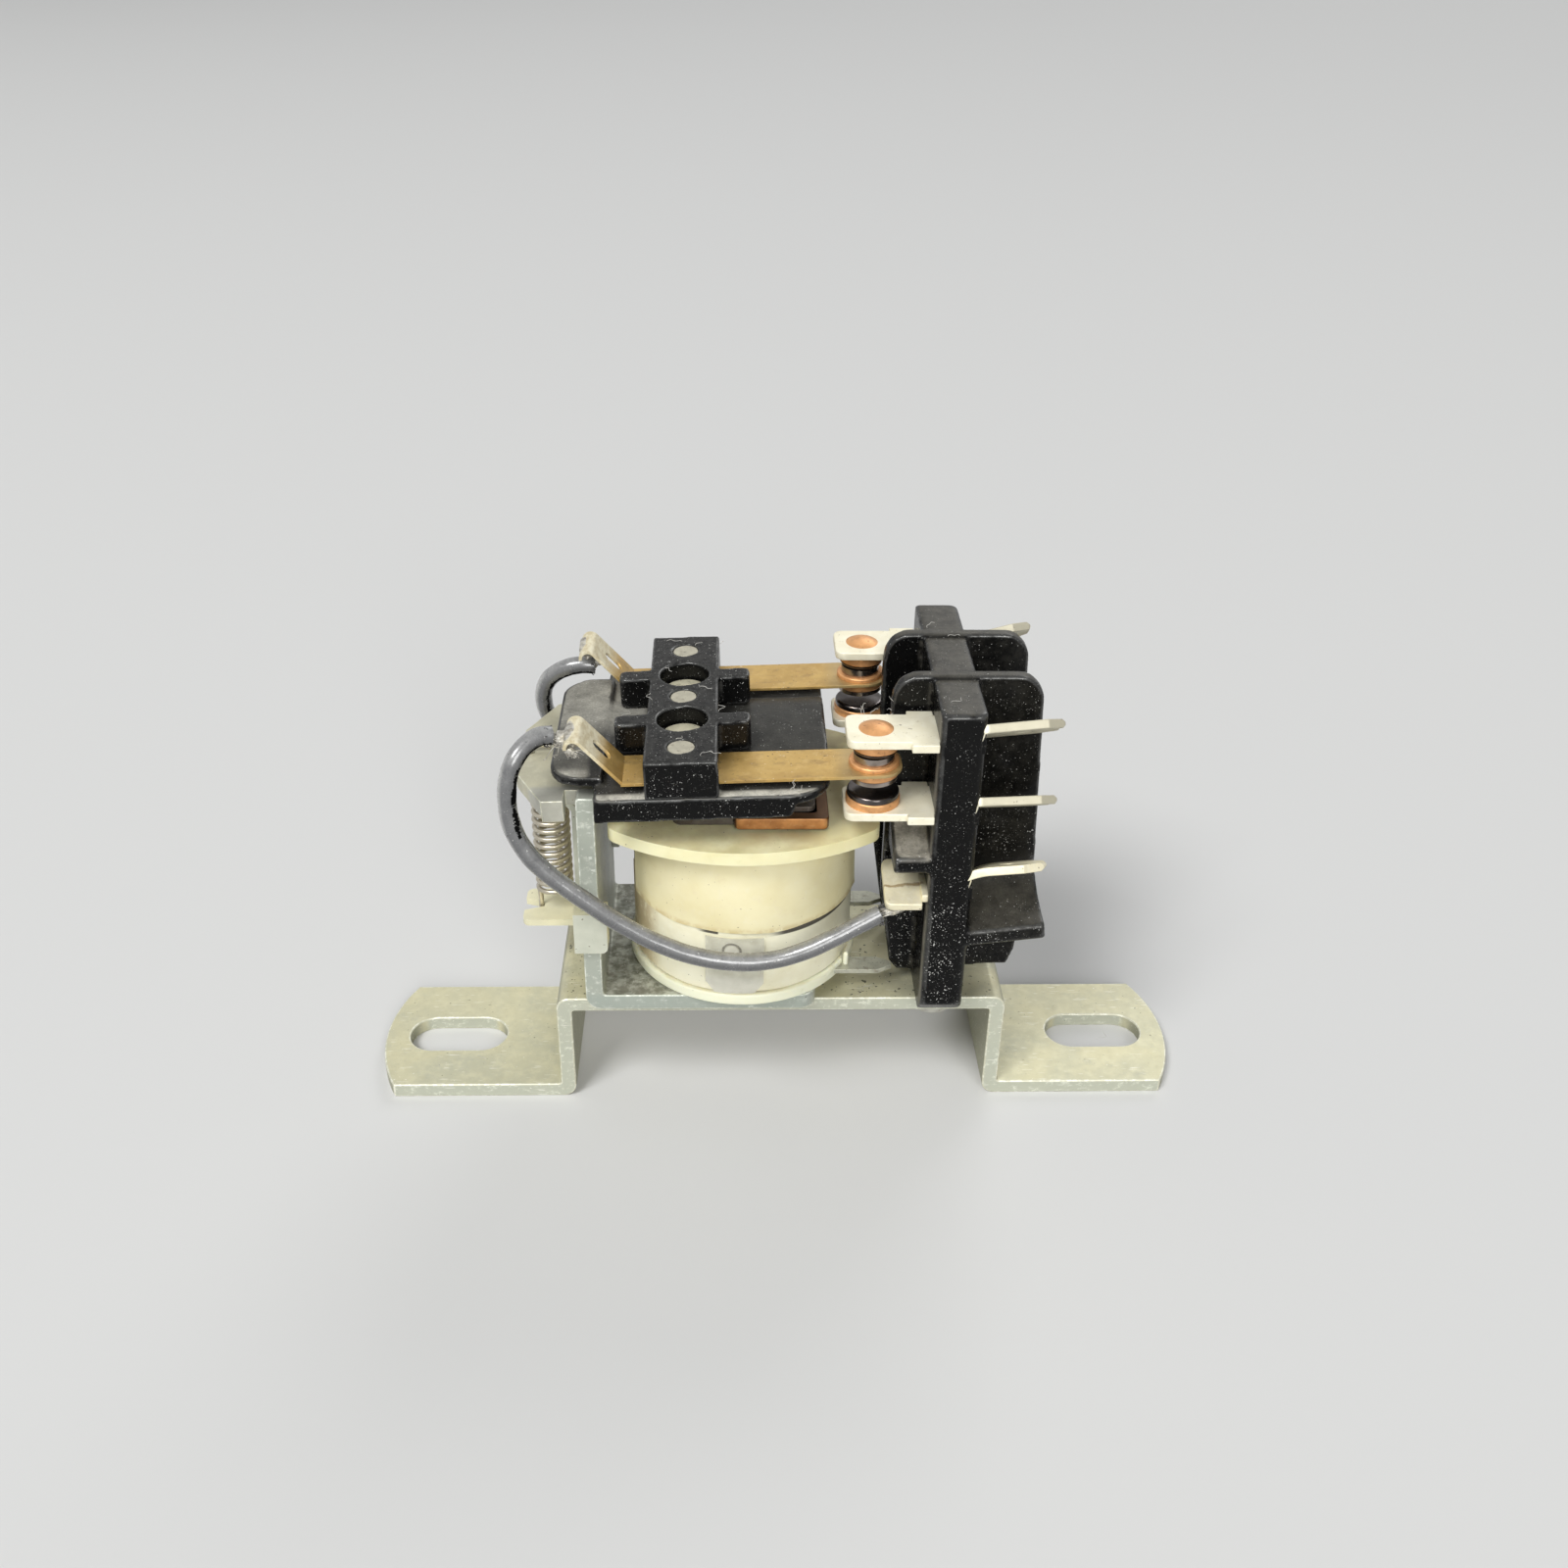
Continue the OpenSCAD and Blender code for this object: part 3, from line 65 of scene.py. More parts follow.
ARM_TOP = 35.68
CLAMP_TOP = 41.08
WINDING_R = 10.6
WINDING_Z0, WINDING_Z1 = 15.27, 30.78
BLOCK_X0, BLOCK_X1 = 13.0, 17.1
TAB_W, TAB_T, TAB_L, BODY_W = 6.35, 0.8, 7.1, 4.8
TAB_TWIST = 33.0  # degrees
NC_Z, NO_Z, COM_Z = 41.97, 34.65, 26.70
PIGTAIL_D = 1.75
FRONT_ROUTE = [
    (-20.6, -8.65, 42.0), (-21.6, -9.0, 42.08), (-22.5, -9.6, 41.8), (-23.3, -10.3, 41.2),
    (-23.95, -10.9, 40.2), (-24.35, -11.2, 38.9), (-24.5, -11.4, 37.4), (-24.45, -11.6, 35.9),
    (-24.15, -11.8, 34.4), (-23.55, -12.0, 32.95), (-22.5, -12.25, 31.35), (-20.7, -12.5, 29.5),
    (-18.15, -12.75, 27.4), (-15.2, -13.0, 25.1), (-11.7, -13.2, 22.95), (-8.1, -13.3, 21.45),
    (-4.6, -13.3, 20.8), (-1.4, -13.2, 20.9), (1.5, -12.9, 21.6), (4.4, -12.35, 22.75),
    (6.8, -11.65, 23.75), (8.75, -11.07, 24.555),
]
REAR_ROUTE = [
    (-18.2, 9.5, 39.75), (-19.6, 9.45, 39.8), (-20.9, 9.5, 39.5), (-22.0, 9.6, 38.9),
    (-22.9, 9.75, 38.0), (-23.4, 9.9, 36.8), (-23.5, 10.1, 35.5), (-23.3, 10.4, 34.1),
    (-22.8, 10.8, 32.6), (-21.8, 11.3, 30.9), (-20.2, 11.9, 29.0), (-18.0, 12.4, 27.2),
    (-15.2, 12.8, 25.4), (-12.0, 13.1, 23.8), (-8.6, 13.3, 22.5), (-5.0, 13.35, 21.7),
    (-1.6, 13.2, 21.4), (1.5, 12.9, 21.8), (4.4, 12.35, 22.7), (6.8, 11.65, 23.7),
    (8.75, 11.07, 24.555),
]

# ---------------------------------------------------------------- how meshes are rounded and drawn
BEVEL_ABOVE = math.radians(32)
SPLIT_ABOVE = math.radians(50)
MERGE_BELOW = math.radians(0.4)
WELD_WITHIN = 1e-6  # metres
TINY = 1e-6  # millimetres
RANDOM_TURN = 6.28  # a full turn, for random draws
LEAD_SIDES, LEAD_STEPS = 48, 20
COIL_STEPS = 28
HOLE_SIDES = 24


def add_object(name, data):
    made = bpy.data.objects.new(name, data)
    bpy.context.scene.collection.objects.link(made)
    return made


# ---------------------------------------------------------------- camera, floor and light
def make_camera():
    """The photograph's view: from the front, 31 degrees above, with a slight turn and roll."""
    pitch, yaw, roll = 0.5380, -0.0417, 0.0212
    place = (-0.00532, -0.12967, 0.10933)
    turn = Matrix.Rotation(yaw, 3, "Z")
    forward = turn @ Vector((0, math.cos(pitch), -math.sin(pitch)))
    up = turn @ Vector((0, math.sin(pitch), math.cos(pitch)))
    right = turn @ Vector((1, 0, 0))
    right, up = math.cos(roll) * right + math.sin(roll) * up, math.cos(roll) * up - math.sin(roll) * right
    data = bpy.data.cameras.new("camera")
    data.lens, data.sensor_width = 36.33, 36.0
    data.clip_start, data.clip_end = 0.005, 10
    camera = add_object("camera", data)
    camera.matrix_world = Matrix([[right[i], up[i], -forward[i], place[i]] for i in range(3)] + [[0, 0, 0, 1]])
    bpy.context.scene.camera = camera


def make_floor():
    """A wide floor of pale paper."""
    far = 8
    mesh = bpy.data.meshes.new("floor")
    mesh.from_pydata([(-far, -far, 0), (far, -far, 0), (far, far, 0), (-far, far, 0)], [], [(0, 1, 2, 3)])
    floor = add_object("floor", mesh)
    paper = bpy.data.materials.new("floor_paper")
    paper.use_nodes = True
    shader = paper.node_tree.nodes["Principled BSDF"]
    shader.inputs["Base Color"].default_value = (0.64, 0.64, 0.63, 1)
    shader.inputs["Roughness"].default_value = 0.9
    mesh.materials.append(paper)


def make_sky():
    """An even sky. What the camera and mirrors see of it is pale; the light it gives is weaker."""
    world = bpy.data.worlds.new("studio")
    world.use_nodes = True
    nodes, links = world.node_tree.nodes, world.node_tree.links
    light, pale = nodes["Background"], nodes.new("ShaderNodeBackground")
    light.inputs["Color"].default_value = (0.88, 0.9, 0.92, 1)
    light.inputs["Strength"].default_value = 0.24
    pale.inputs["Color"].default_value = (0.70, 0.705, 0.71, 1)
    rays = nodes.new("ShaderNodeLightPath").outputs
    seen = rays["Is Camera Ray"]
    for kind in ("Is Glossy Ray", "Is Transmission Ray"):
        both = nodes.new("ShaderNodeMath")
        both.operation = "MAXIMUM"
        links.new(seen, both.inputs[0])
        links.new(rays[kind], both.inputs[1])
        seen = both.outputs[0]
    choice = nodes.new("ShaderNodeMixShader")
    for socket, value in enumerate((seen, light.outputs[0], pale.outputs[0])):
        links.new(value, choice.inputs[socket])
    links.new(choice.outputs[0], nodes["World Output"].inputs["Surface"])
    bpy.context.scene.world = world


def make_lamps():
    """Three soft square lamps, aimed at the part's foot. Places and sizes are in metres."""
    for name, place, size, power in (
        ("key", (-1.0, -1.25, 2.05), 0.95, 49),
        ("rim", (1.0, 2.0, 1.8), 1.4, 18),
        ("fill", (0.5, -2.5, 1.35), 1.3, 38),
    ):
        lamp = bpy.data.lights.new(name, "AREA")
        lamp.shape, lamp.size, lamp.energy = "SQUARE", size, power
        holder = add_object(name, lamp)
        holder.location = place
        holder.rotation_euler = (-Vector(place)).to_track_quat("-Z", "Y").to_euler()


# ---------------------------------------------------------------- materials
class Finish:
    """A Principled material under construction. Its textures are in the part's own frame, in millimetres.

    A mask is a number from 0 to 1, or a texture of such numbers. A tint is a colour, or a texture of colours.
    """

    def __init__(self, name, roughness=0.5, metallic=0.0, **constants):
        self.material = bpy.data.materials.new(name)
        self.material.use_nodes = True
        self.nodes = self.material.node_tree.nodes
        self.links = self.material.node_tree.links
        self.shader = self.nodes["Principled BSDF"]
        self.set("Roughness", roughness)
        self.set("Metallic", metallic)
        for socket, value in constants.items():
            self.set(socket.replace("_", " "), value)
        here = self._node("TexCoord", {}, "Object")
        self.mm = self._node("VectorMath", {0: here, "Scale": 1 / MM}, operation="SCALE")
        self.colour = None
        self.normal = None

    def _give(self, socket, value):
        """Links a texture to a socket, or gives it a constant. None leaves it as it is."""
        if isinstance(value, bpy.types.NodeSocket):
            self.links.new(value, socket)
        elif value is not None:
            if socket.type == "RGBA" and len(value) == 3:
                value = (*value, 1)
            socket.default_value = value

    def _node(self, kind, inputs, output=0, **properties):
        """One output of a new node, whose inputs are given by number or name."""
        node = self.nodes.new("ShaderNode" + kind)
        for key, value in properties.items():
            setattr(node, key, value)
        for key, value in inputs.items():
            self._give(node.inputs[key], value)
        return node.outputs[output]

    def set(self, socket, value):
        """Gives a shader socket a constant, or links a texture to it."""
        self._give(self.shader.inputs[socket], value)

    def math(self, operation, a, b=None):
        return self._node("Math", {0: a, 1: b}, operation=operation)

    def vector(self, operation, a, b):
        return self._node("VectorMath", {0: a, 1: b}, operation=operation)

    def part(self, vector, axis):
        """The X, Y or Z of a vector."""
        return self._node("SeparateXYZ", {0: vector}, axis)

    def stretched(self, stretch):
        """Coordinates in which the textures are drawn out along an axis whose stretch is above 1."""
        return self.vector("MULTIPLY", self.mm, tuple(1 / s for s in stretch))

    def noise(self, size, detail=3, rough=0.55, warp=0.0, vector=None):
        """Cloudy texture, 0 to 1, with features of about that size."""
        inputs = {"Vector": vector or self.mm, "Scale": 1 / size, "Detail": detail}
        return self._node("TexNoise", {**inputs, "Roughness": rough, "Distortion": warp}, "Fac")

    def mask(self, value, low, high):
        """0 below low, 1 above high, smooth between. Low may be above high, which turns it round."""
        inputs = {"Value": value, "From Min": low, "From Max": high, "To Min": 0.0, "To Max": 1.0}
        return self._node("MapRange", inputs, "Result", interpolation_type="SMOOTHSTEP")

    def patches(self, size, low, high, *detail, **more):
        """Patches where the noise of that size, detail and roughness rises from low to high."""
        return self.mask(self.noise(size, *detail, **more), low, high)

    def grit(self, size, amount, cluster=2.6):
        """Irregular grains of about half that size, closer together in some places. amount: 0 few, 1 crowded."""
        fine = self.noise(size, 1.5, 0.6)
        where = self.math("MULTIPLY", self.math("SUBTRACT", self.noise(cluster, 2), 0.5), 0.22)
        edge = 0.76 - 0.13 * amount
        return self.mask(self.math("ADD", fine, where), edge, edge + 0.025)

    def slant(self, axis):
        """How far the surface faces along +X, +Y or +Z of the part, -1 to 1."""
        return self.part(self._node("NewGeometry", {}, "Normal"), axis)

    def facing(self, axis, low, high):
        """Faces that look along +X, +Y or +Z, or the other way for values below 0."""
        return self.mask(self.slant(axis), low, high)

    def flanks(self, axis, low, high):
        """Faces that look along an axis, either way."""
        return self.mask(self.math("ABSOLUTE", self.slant(axis)), low, high)

    def place(self, axis, low, high):
        """A mask that rises from low to high along X, Y or Z of the part."""
        return self.mask(self.part(self.mm, axis), low, high)

    def edges(self, low, high):
        """The rounded edges of a softened piece, where pointiness rises from low to high."""
        return self.mask(self._node("NewGeometry", {}, "Pointiness"), low, high)

    def mix(self, mask, a, b):
        """Tint a where mask is 0, tint b where it is 1."""
        return self._node("Mix", {0: mask, 6: a, 7: b}, 2, data_type="RGBA")

    def number(self, mask, a, b):
        """Number a where mask is 0, number b where it is 1."""
        return self._node("Mix", {0: mask, 2: a, 3: b})

    def times(self, *masks):
        product = masks[0]
        for mask in masks[1:]:
            product = self.math("MULTIPLY", product, mask)
        return product

    def either(self, *masks):
        highest = masks[0]
        for mask in masks[1:]:
            highest = self.math("MAXIMUM", highest, mask)
        return highest

    def base(self, mask, a, b):
        """The finish's ground: tint a where mask is 0, tint b where it is 1."""
        self.colour = self.mix(mask, a, b)
        self.set("Base Color", self.colour)

    def over(self, tint, *masks):
        """Lays a tint over the finish so far, as strongly as the product of the masks."""
        self.base(self.times(*masks), self.colour, tint)

    def gloss(self, size, low, high, detail=4):
        """A roughness that wanders from low to high, with features of that size."""
        self.set("Roughness", self.number(self.noise(size, detail), low, high))

    def bump(self, height, depth):
        """Adds relief: height from 0 to 1 stands for depth millimetres."""
        inputs = {"Height": height, "Distance": depth * MM, "Strength": 1.0, "Normal": self.normal}
        self.normal = self._node("Bump", inputs, "Normal")
        self.set("Normal", self.normal)

    def relief(self, size, depth, detail=4, rough=0.55):
        """Adds uneven relief with features of that size and up to that depth."""
        self.bump(self.noise(size, detail, rough), depth)


def plate_edge(f, tone, pale):
    """The sheared flanks of a plate: a cooler grey than its faces, with rubbed streaks."""
    streak = f.noise(0.5, 5, 0.7, vector=f.stretched((2.2, 1, 1.6)))
    f.over(f.mix(f.mask(streak, 0.52, 0.68), tone, pale), f.flanks("Y", 0.8, 0.95), 0.85)


def rubbed_edge(name, tone, pale, share, metallic=0.0, specular=0.4):
    """The rounded edges of a piece: its own tone, rubbed or dusty in places."""
    f = Finish(name, roughness=0.4, metallic=metallic, Specular_IOR_Level=specular)
    worn = f.patches(0.7, 0.62 - 0.25 * share, 0.7 - 0.2 * share, 5, 0.72)
    f.base(f.times(worn, f.number(f.noise(0.3, 3), 0.4, 1.0)), tone, pale)
    f.relief(0.3, 0.015)
    return f.material


def bracket_plate():
    """Yellow-grey passivated zinc: mottled, with rubbed scratches, dirt where the bridge meets the frame, painted
    shade there under the coil, and painted shade on its uprights.
    """
    f = Finish("chromated_plate", metallic=0.3)
    f.base(f.patches(7.0, 0.32, 0.68, 3, warp=0.3), (0.62, 0.585, 0.385), (0.51, 0.5, 0.36))
    f.over((0.68, 0.65, 0.45), f.patches(1.4, 0.42, 0.7, 5, 0.65), 0.55)
    f.over((0.5, 0.47, 0.31), f.patches(0.6, 0.5, 0.7, 4, 0.7), 0.4)
    f.over((0.42, 0.43, 0.36), f.patches(3.6, 0.55, 0.72, 5, 0.72), 0.4)
    plate_edge(f, (0.5, 0.52, 0.43), (0.74, 0.76, 0.65))
    # painted shade: the uprights, which face along X, are darkened for the light that reaches them less
    shaded_uprights = f.flanks("X", 0.6, 0.95)
    f.over((0.29, 0.29, 0.21), shaded_uprights, 0.85)
    scratch = f.patches(0.2, 0.68, 0.74, 1, vector=f.stretched((9, 1, 1)))
    f.over((0.84, 0.83, 0.74), scratch, 0.6)
    # dirt in the corner where the bridge meets the frame, and painted shade there under the coil; the dark grains
    # on the bridge's top deepen that painted shade
    corner = f.times(f.place("Z", 11.9, 12.25), f.place("X", -10.5, -15.0), f.patches(1.3, 0.3, 0.6, 5, 0.7))
    f.over((0.13, 0.125, 0.085), corner, 0.2)
    grime_and_shade = f.times(f.facing("Z", 0.4, 0.9), f.place("Z", 11.9, 12.25), f.grit(0.5, 0.75, cluster=1.8))
    f.over((0.06, 0.06, 0.045), grime_and_shade, 0.85)
    f.over((0.2, 0.19, 0.13), f.grit(0.42, 0.12), 0.75)
    f.over((0.86, 0.85, 0.76), f.grit(0.3, 0.2, cluster=4), 0.8)
    f.gloss(0.9, 0.4, 0.6)
    f.relief(0.3, 0.01, 4, 0.6)
    f.relief(5.0, 0.06, 2)
    return f.material


def frame_steel():
    """The magnet frame: blue-grey zinc with chipped, rubbed flanks."""
    f = Finish("frame_plate", metallic=0.35)
    f.base(f.patches(3.5, 0.3, 0.7, 4, warp=0.5), (0.52, 0.53, 0.45), (0.4, 0.42, 0.36))
    f.over((0.64, 0.65, 0.56), f.patches(0.9, 0.5, 0.72, 5, 0.7), 0.5)
    plate_edge(f, (0.42, 0.45, 0.385), (0.66, 0.68, 0.6))
    low = f.times(f.place("Z", 14.4, 13.6), f.facing("Y", -0.5, -0.9))
    f.over((0.35, 0.4, 0.36), low, 0.45)
    scratch = f.patches(0.24, 0.64, 0.7, 2, vector=f.stretched((5, 1, 2)))
    f.over((0.8, 0.83, 0.76), scratch, 0.7)
    # dirt on the top of the frame's lower leg, stronger to the left, which is also painted shade under the coil
    dirt = f.times(f.facing("Z", 0.4, 0.9), f.place("Z", 15, 14.2), f.patches(1.2, 0.34, 0.6, 5, 0.7))
    dirt = f.times(dirt, f.number(f.place("X", -8.0, -12.0), 0.25, 0.9))
    f.over((0.085, 0.085, 0.05), dirt)
    f.over((0.1, 0.1, 0.075), f.grit(0.5, 0.3), 0.8)
    f.over((0.56, 0.54, 0.47), f.facing("Z", 0.35, 0.95), f.patches(2.2, 0.25, 0.75, 5, 0.65), 0.3)
    f.over((0.72, 0.71, 0.66), f.grit(0.32, 0.15), 0.8)
    f.gloss(0.7, 0.34, 0.55)
    f.relief(0.24, 0.012)
    f.relief(1.8, 0.06, 2)
    return f.material


def spring_clip():
    """The spring bracket: paler and more even than the frame it grips."""
    f = Finish("clip_plate", metallic=0.3)
    f.base(f.patches(3.0, 0.3, 0.7, 4), (0.82, 0.78, 0.54), (0.72, 0.69, 0.49))
    f.over((0.84, 0.81, 0.6), f.patches(0.8, 0.5, 0.72, 5, 0.7), 0.45)
    ears = f.times(f.facing("Y", -0.5, -0.9), f.place("Z", 19.2, 19.6))
    f.over(f.mix(f.noise(0.9, 4), (0.46, 0.49, 0.42), (0.62, 0.64, 0.56)), ears, 0.8)
    f.over((0.17, 0.15, 0.09), f.grit(0.45, 0.2), 0.8)
    f.gloss(0.7, 0.36, 0.58)
    f.relief(0.24, 0.012)
    f.relief(1.8, 0.05, 2)
    return f.material


def pole_steel():
    """The core: iron, painted dark all over as painted shade, for the shadow it lies in under the armature, with
    brown grains.
    """
    f = Finish("pole_iron", metallic=0.6)
    # painted shade: the core's whole colour is this dark
    f.base(f.patches(1.6, 0.3, 0.7, 5), (0.1, 0.085, 0.07), (0.17, 0.15, 0.13))
    f.over((0.11, 0.08, 0.055), f.grit(0.6, 0.5), 0.8)
    f.gloss(0.6, 0.28, 0.55)
    f.relief(0.2, 0.01, 3)
    return f.material


def tail_plate():
    """The armature plate: yellow-grey zinc, greyer on its front lobe."""
    f = Finish("armature_plate", metallic=0.3)
    f.base(f.patches(2.8, 0.3, 0.7, 4), (0.57, 0.54, 0.39), (0.47, 0.45, 0.33))
    f.over((0.64, 0.62, 0.47), f.patches(0.9, 0.48, 0.72, 5, 0.7), 0.5)
    lobes = f.times(f.place("X", -18.3, -18.9), f.place("Y", -6.2, -7.2))
    f.over(f.mix(f.noise(0.9, 4), (0.36, 0.36, 0.32), (0.56, 0.56, 0.5)), lobes, 0.75)
    f.over((0.2, 0.18, 0.12), f.grit(0.45, 0.2), 0.75)
    f.gloss(0.7, 0.32, 0.54)
    f.relief(0.25, 0.012)
    f.relief(1.6, 0.05, 2)
    return f.material


def black_base(f, film, tint, grains, extra=None):
    """Black phenolic moulding under a film of dust, with pale grains and a slightly uneven gloss."""
    base = f.mix(f.noise(0.5, 4), (0.002, 0.002, 0.002), (0.006, 0.006, 0.0058))
    uneven = f.number(f.noise(0.2, 5, 0.72), 0.3, 1.5)
    edge = f.edges(0.512, 0.532)
    bare = f.patches(1.6, 0.3, 0.6, 4, 0.65)
    film = f.times(film, f.number(edge, 1.0, 0.35))
    corner = f.times(f.edges(0.49, 0.475), f.patches(0.8, 0.35, 0.7, 4), 0.12)
    f.base(f.math("MINIMUM", f.times(f.either(film, corner), uneven), 1.0), base, tint)
    f.over((0.085, 0.085, 0.082), edge, bare)
    f.set("Metallic", f.times(edge, bare, 0.8))
    pale = f.grit(0.17, grains)
    if extra is not None:
        pale = f.either(pale, extra)
    tiny = f.grit(0.11, 0.5 * grains + 0.2, cluster=1.6)
    f.over((0.42, 0.42, 0.39), tiny, 0.4)
    f.over((0.7, 0.7, 0.66), pale, 0.8)
    f.set("Roughness", f.number(film, f.number(f.noise(0.9, 3), 0.2, 0.32), 0.8))
    f.relief(0.16, 0.006, 4, 0.6)
    f.relief(1.6, 0.03, 2)
    f.bump(pale, 0.015)
    return f.material


def carrier_moulding():
    """The armature's moulding: dust lies on its front ledge, its ear and the end of its rib."""
    f = Finish("carrier_moulding", Specular_IOR_Level=0.12)
    up = f.facing("Z", 0.35, 0.95)
    cloud = f.patches(1.9, 0.2, 0.75, 6, 0.68)
    ledge = f.either(f.place("Y", -11.0, -11.7), f.place("Y", 11.0, 11.7))
    ear = f.times(f.place("X", -17.2, -18.0), f.number(f.place("Y", -7.6, -9.0), 0.4, 1.0))
    hump = f.times(f.place("X", -12.4, -13.4), f.place("Y", -3.2, 2.0))
    film = f.either(ledge, f.times(ear, 0.8), f.times(hump, 0.55), 0.07)
    film = f.times(film, up, f.number(cloud, 0.55, 1.2))
    return black_base(f, film, (0.62, 0.6, 0.52), 0.34)


def clamp_moulding():
    """The blade clamp: nearly bare, with grains that crowd on its top."""
    f = Finish("clamp_moulding", Specular_IOR_Level=0.12)
    film = f.times(f.facing("Z", 0.6, 0.95), f.patches(0.9, 0.2, 0.75, 6, 0.75), 0.09)
    crowded = f.times(f.facing("Z", 0.6, 0.95), f.grit(0.17, 0.62, cluster=1.4), 0.4)
    return black_base(f, film, (0.44, 0.43, 0.4), 0.4, extra=crowded)


def block_moulding():
    """The terminal block: brown-grey dust lies in its scoops, and grains cover the lower half of its front."""
    f = Finish("block_moulding", Specular_IOR_Level=0.12)
    up = f.facing("Z", 0.1, 0.8)
    cloud = f.patches(1.4, 0.2, 0.72, 6, 0.7)
    top = f.times(f.facing("Z", 0.7, 0.95), f.place("Z", 40, 44), 0.2)
    inner = f.times(up, f.place("X", 13.5, 12.7), f.place("Z", 34.8, 33.6), 0.8)
    outer = f.times(up, f.place("X", 16.9, 17.6), 0.14)
    side = f.times(f.facing("X", -0.7, -0.95), f.place("X", 13.2, 13.0), f.place("Y", -9.6, -10.6), 0.5)
    film = f.times(f.either(top, inner, outer, side), f.number(cloud, 0.4, 1.2))
    wall = f.times(f.place("X", 16.9, 17.6), f.patches(1.2, 0.35, 0.75, 6, 0.7), 0.045)
    film = f.either(film, wall)
    front = f.times(f.facing("Y", -0.7, -0.95), f.place("Z", 36.0, 22.0), f.grit(0.17, 0.66, cluster=2.0))
    return black_base(f, film, (0.42, 0.395, 0.33), 0.3, extra=front)


def nylon():
    """The bobbin: aged natural nylon, browned by heat near the iron."""
    f = Finish(
        "nylon", Subsurface_Weight=0.2, Subsurface_Radius=(1.0, 0.8, 0.4), Subsurface_Scale=1.0 * MM,
        Specular_IOR_Level=0.4,
    )
    f.base(f.patches(5.0, 0.3, 0.7, 3), (0.85, 0.81, 0.52), (0.77, 0.71, 0.4))
    f.over((0.84, 0.84, 0.64), f.place("Z", 20, 15.5))
    stain = f.times(f.facing("Z", 0.5, 1.0), f.patches(3.2, 0.36, 0.66, 5))
    f.over((0.52, 0.42, 0.19), stain, 0.45)
    f.over((0.5, 0.5, 0.22), f.patches(1.8, 0.6, 0.75, 5), 0.3)
    f.over((0.16, 0.12, 0.07), f.grit(0.35, 0.12), 0.8)
    f.gloss(1.2, 0.3, 0.5, 3)
    f.relief(0.5, 0.01, 3)
    f.relief(3.5, 0.05, 2)
    return f.material


def winding_tape():
    """Dark varnished tape round the winding, with the wire's ridges showing through."""
    f = Finish("winding_tape", roughness=0.4, Specular_IOR_Level=0.35)
    f.base(f.patches(4.0, 0.3, 0.7, 3), (0.045, 0.038, 0.032), (0.022, 0.018, 0.016))
    turns = f.mask(f.math("SINE", f.math("MULTIPLY", f.part(f.mm, "Z"), math.tau / 0.34)), -1, 1)
    f.over((0.08, 0.065, 0.05), turns, 0.3)
    f.over((0.5, 0.48, 0.42), f.grit(0.35, 0.3), 0.6)
    f.bump(turns, 0.03)
    f.relief(2.5, 0.08, 2)
    return f.material


def upper_paper():
    """The upper label: yellowed varnished paper, browner towards its edges."""
    f = Finish("upper_paper", roughness=0.5, Specular_IOR_Level=0.35)
    f.base(f.patches(4.5, 0.3, 0.72, 3), (0.85, 0.785, 0.51), (0.78, 0.7, 0.41))
    f.over((0.86, 0.82, 0.64), f.patches(1.1, 0.5, 0.75, 5, 0.7), 0.35)
    f.over((0.68, 0.54, 0.27), f.patches(2.2, 0.56, 0.76, 5, 0.7), 0.4)
    edges = f.either(f.place("Z", 22.9, 22.3), f.place("Z", 30.0, 30.7))
    f.over((0.55, 0.41, 0.17), edges, f.patches(0.8, 0.3, 0.6, 4), 0.55)
    green = f.times(f.place("Z", 29.7, 30.5), f.place("X", 1.2, 1.8), f.place("X", 5.0, 4.2))
    f.over((0.36, 0.42, 0.08), green, 0.6)
    f.over((0.2, 0.13, 0.06), f.grit(0.3, 0.1), 0.7)
    f.relief(0.14, 0.006)
    f.relief(2.2, 0.06, 2)
    return f.material


def lower_paper():
    """The lower label: off-white paper, tan at its left end, with painted shadow lines under the lifted lower edge
    of the upper label.
    """
    f = Finish("lower_paper", roughness=0.55, Specular_IOR_Level=0.35)
    f.base(f.patches(4.0, 0.3, 0.72, 3), (0.89, 0.86, 0.66), (0.8, 0.76, 0.55))
    f.over((0.87, 0.85, 0.68), f.patches(1.2, 0.46, 0.72, 5, 0.7), 0.4)
    f.over((0.56, 0.49, 0.3), f.patches(2.0, 0.56, 0.76, 5, 0.7), 0.35)
    tan = f.times(f.place("X", -11.4, -13.2), f.patches(1.0, 0.2, 0.5, 4))
    f.over((0.5, 0.38, 0.19), tan, 0.75)
    # painted shadow: a dark line under the right part of the upper label's lower edge
    line = f.times(f.place("Z", 21.5, 21.62), f.place("X", -1.6, 0.2), f.patches(0.7, 0.2, 0.32, 3))
    f.over((0.02, 0.015, 0.012), line, 0.92)
    # painted shadow: a short dark dash under the left part of the upper label's lower edge
    shadow_dash = f.times(f.place("Z", 21.82, 21.9), f.place("X", -8.4, -7.2), f.place("X", -6.1, -6.25))
    f.over((0.02, 0.015, 0.012), shadow_dash, 0.9)
    f.over((0.2, 0.15, 0.08), f.grit(0.3, 0.1), 0.7)
    f.relief(0.14, 0.006)
    f.relief(2.2, 0.06, 2)
    return f.material


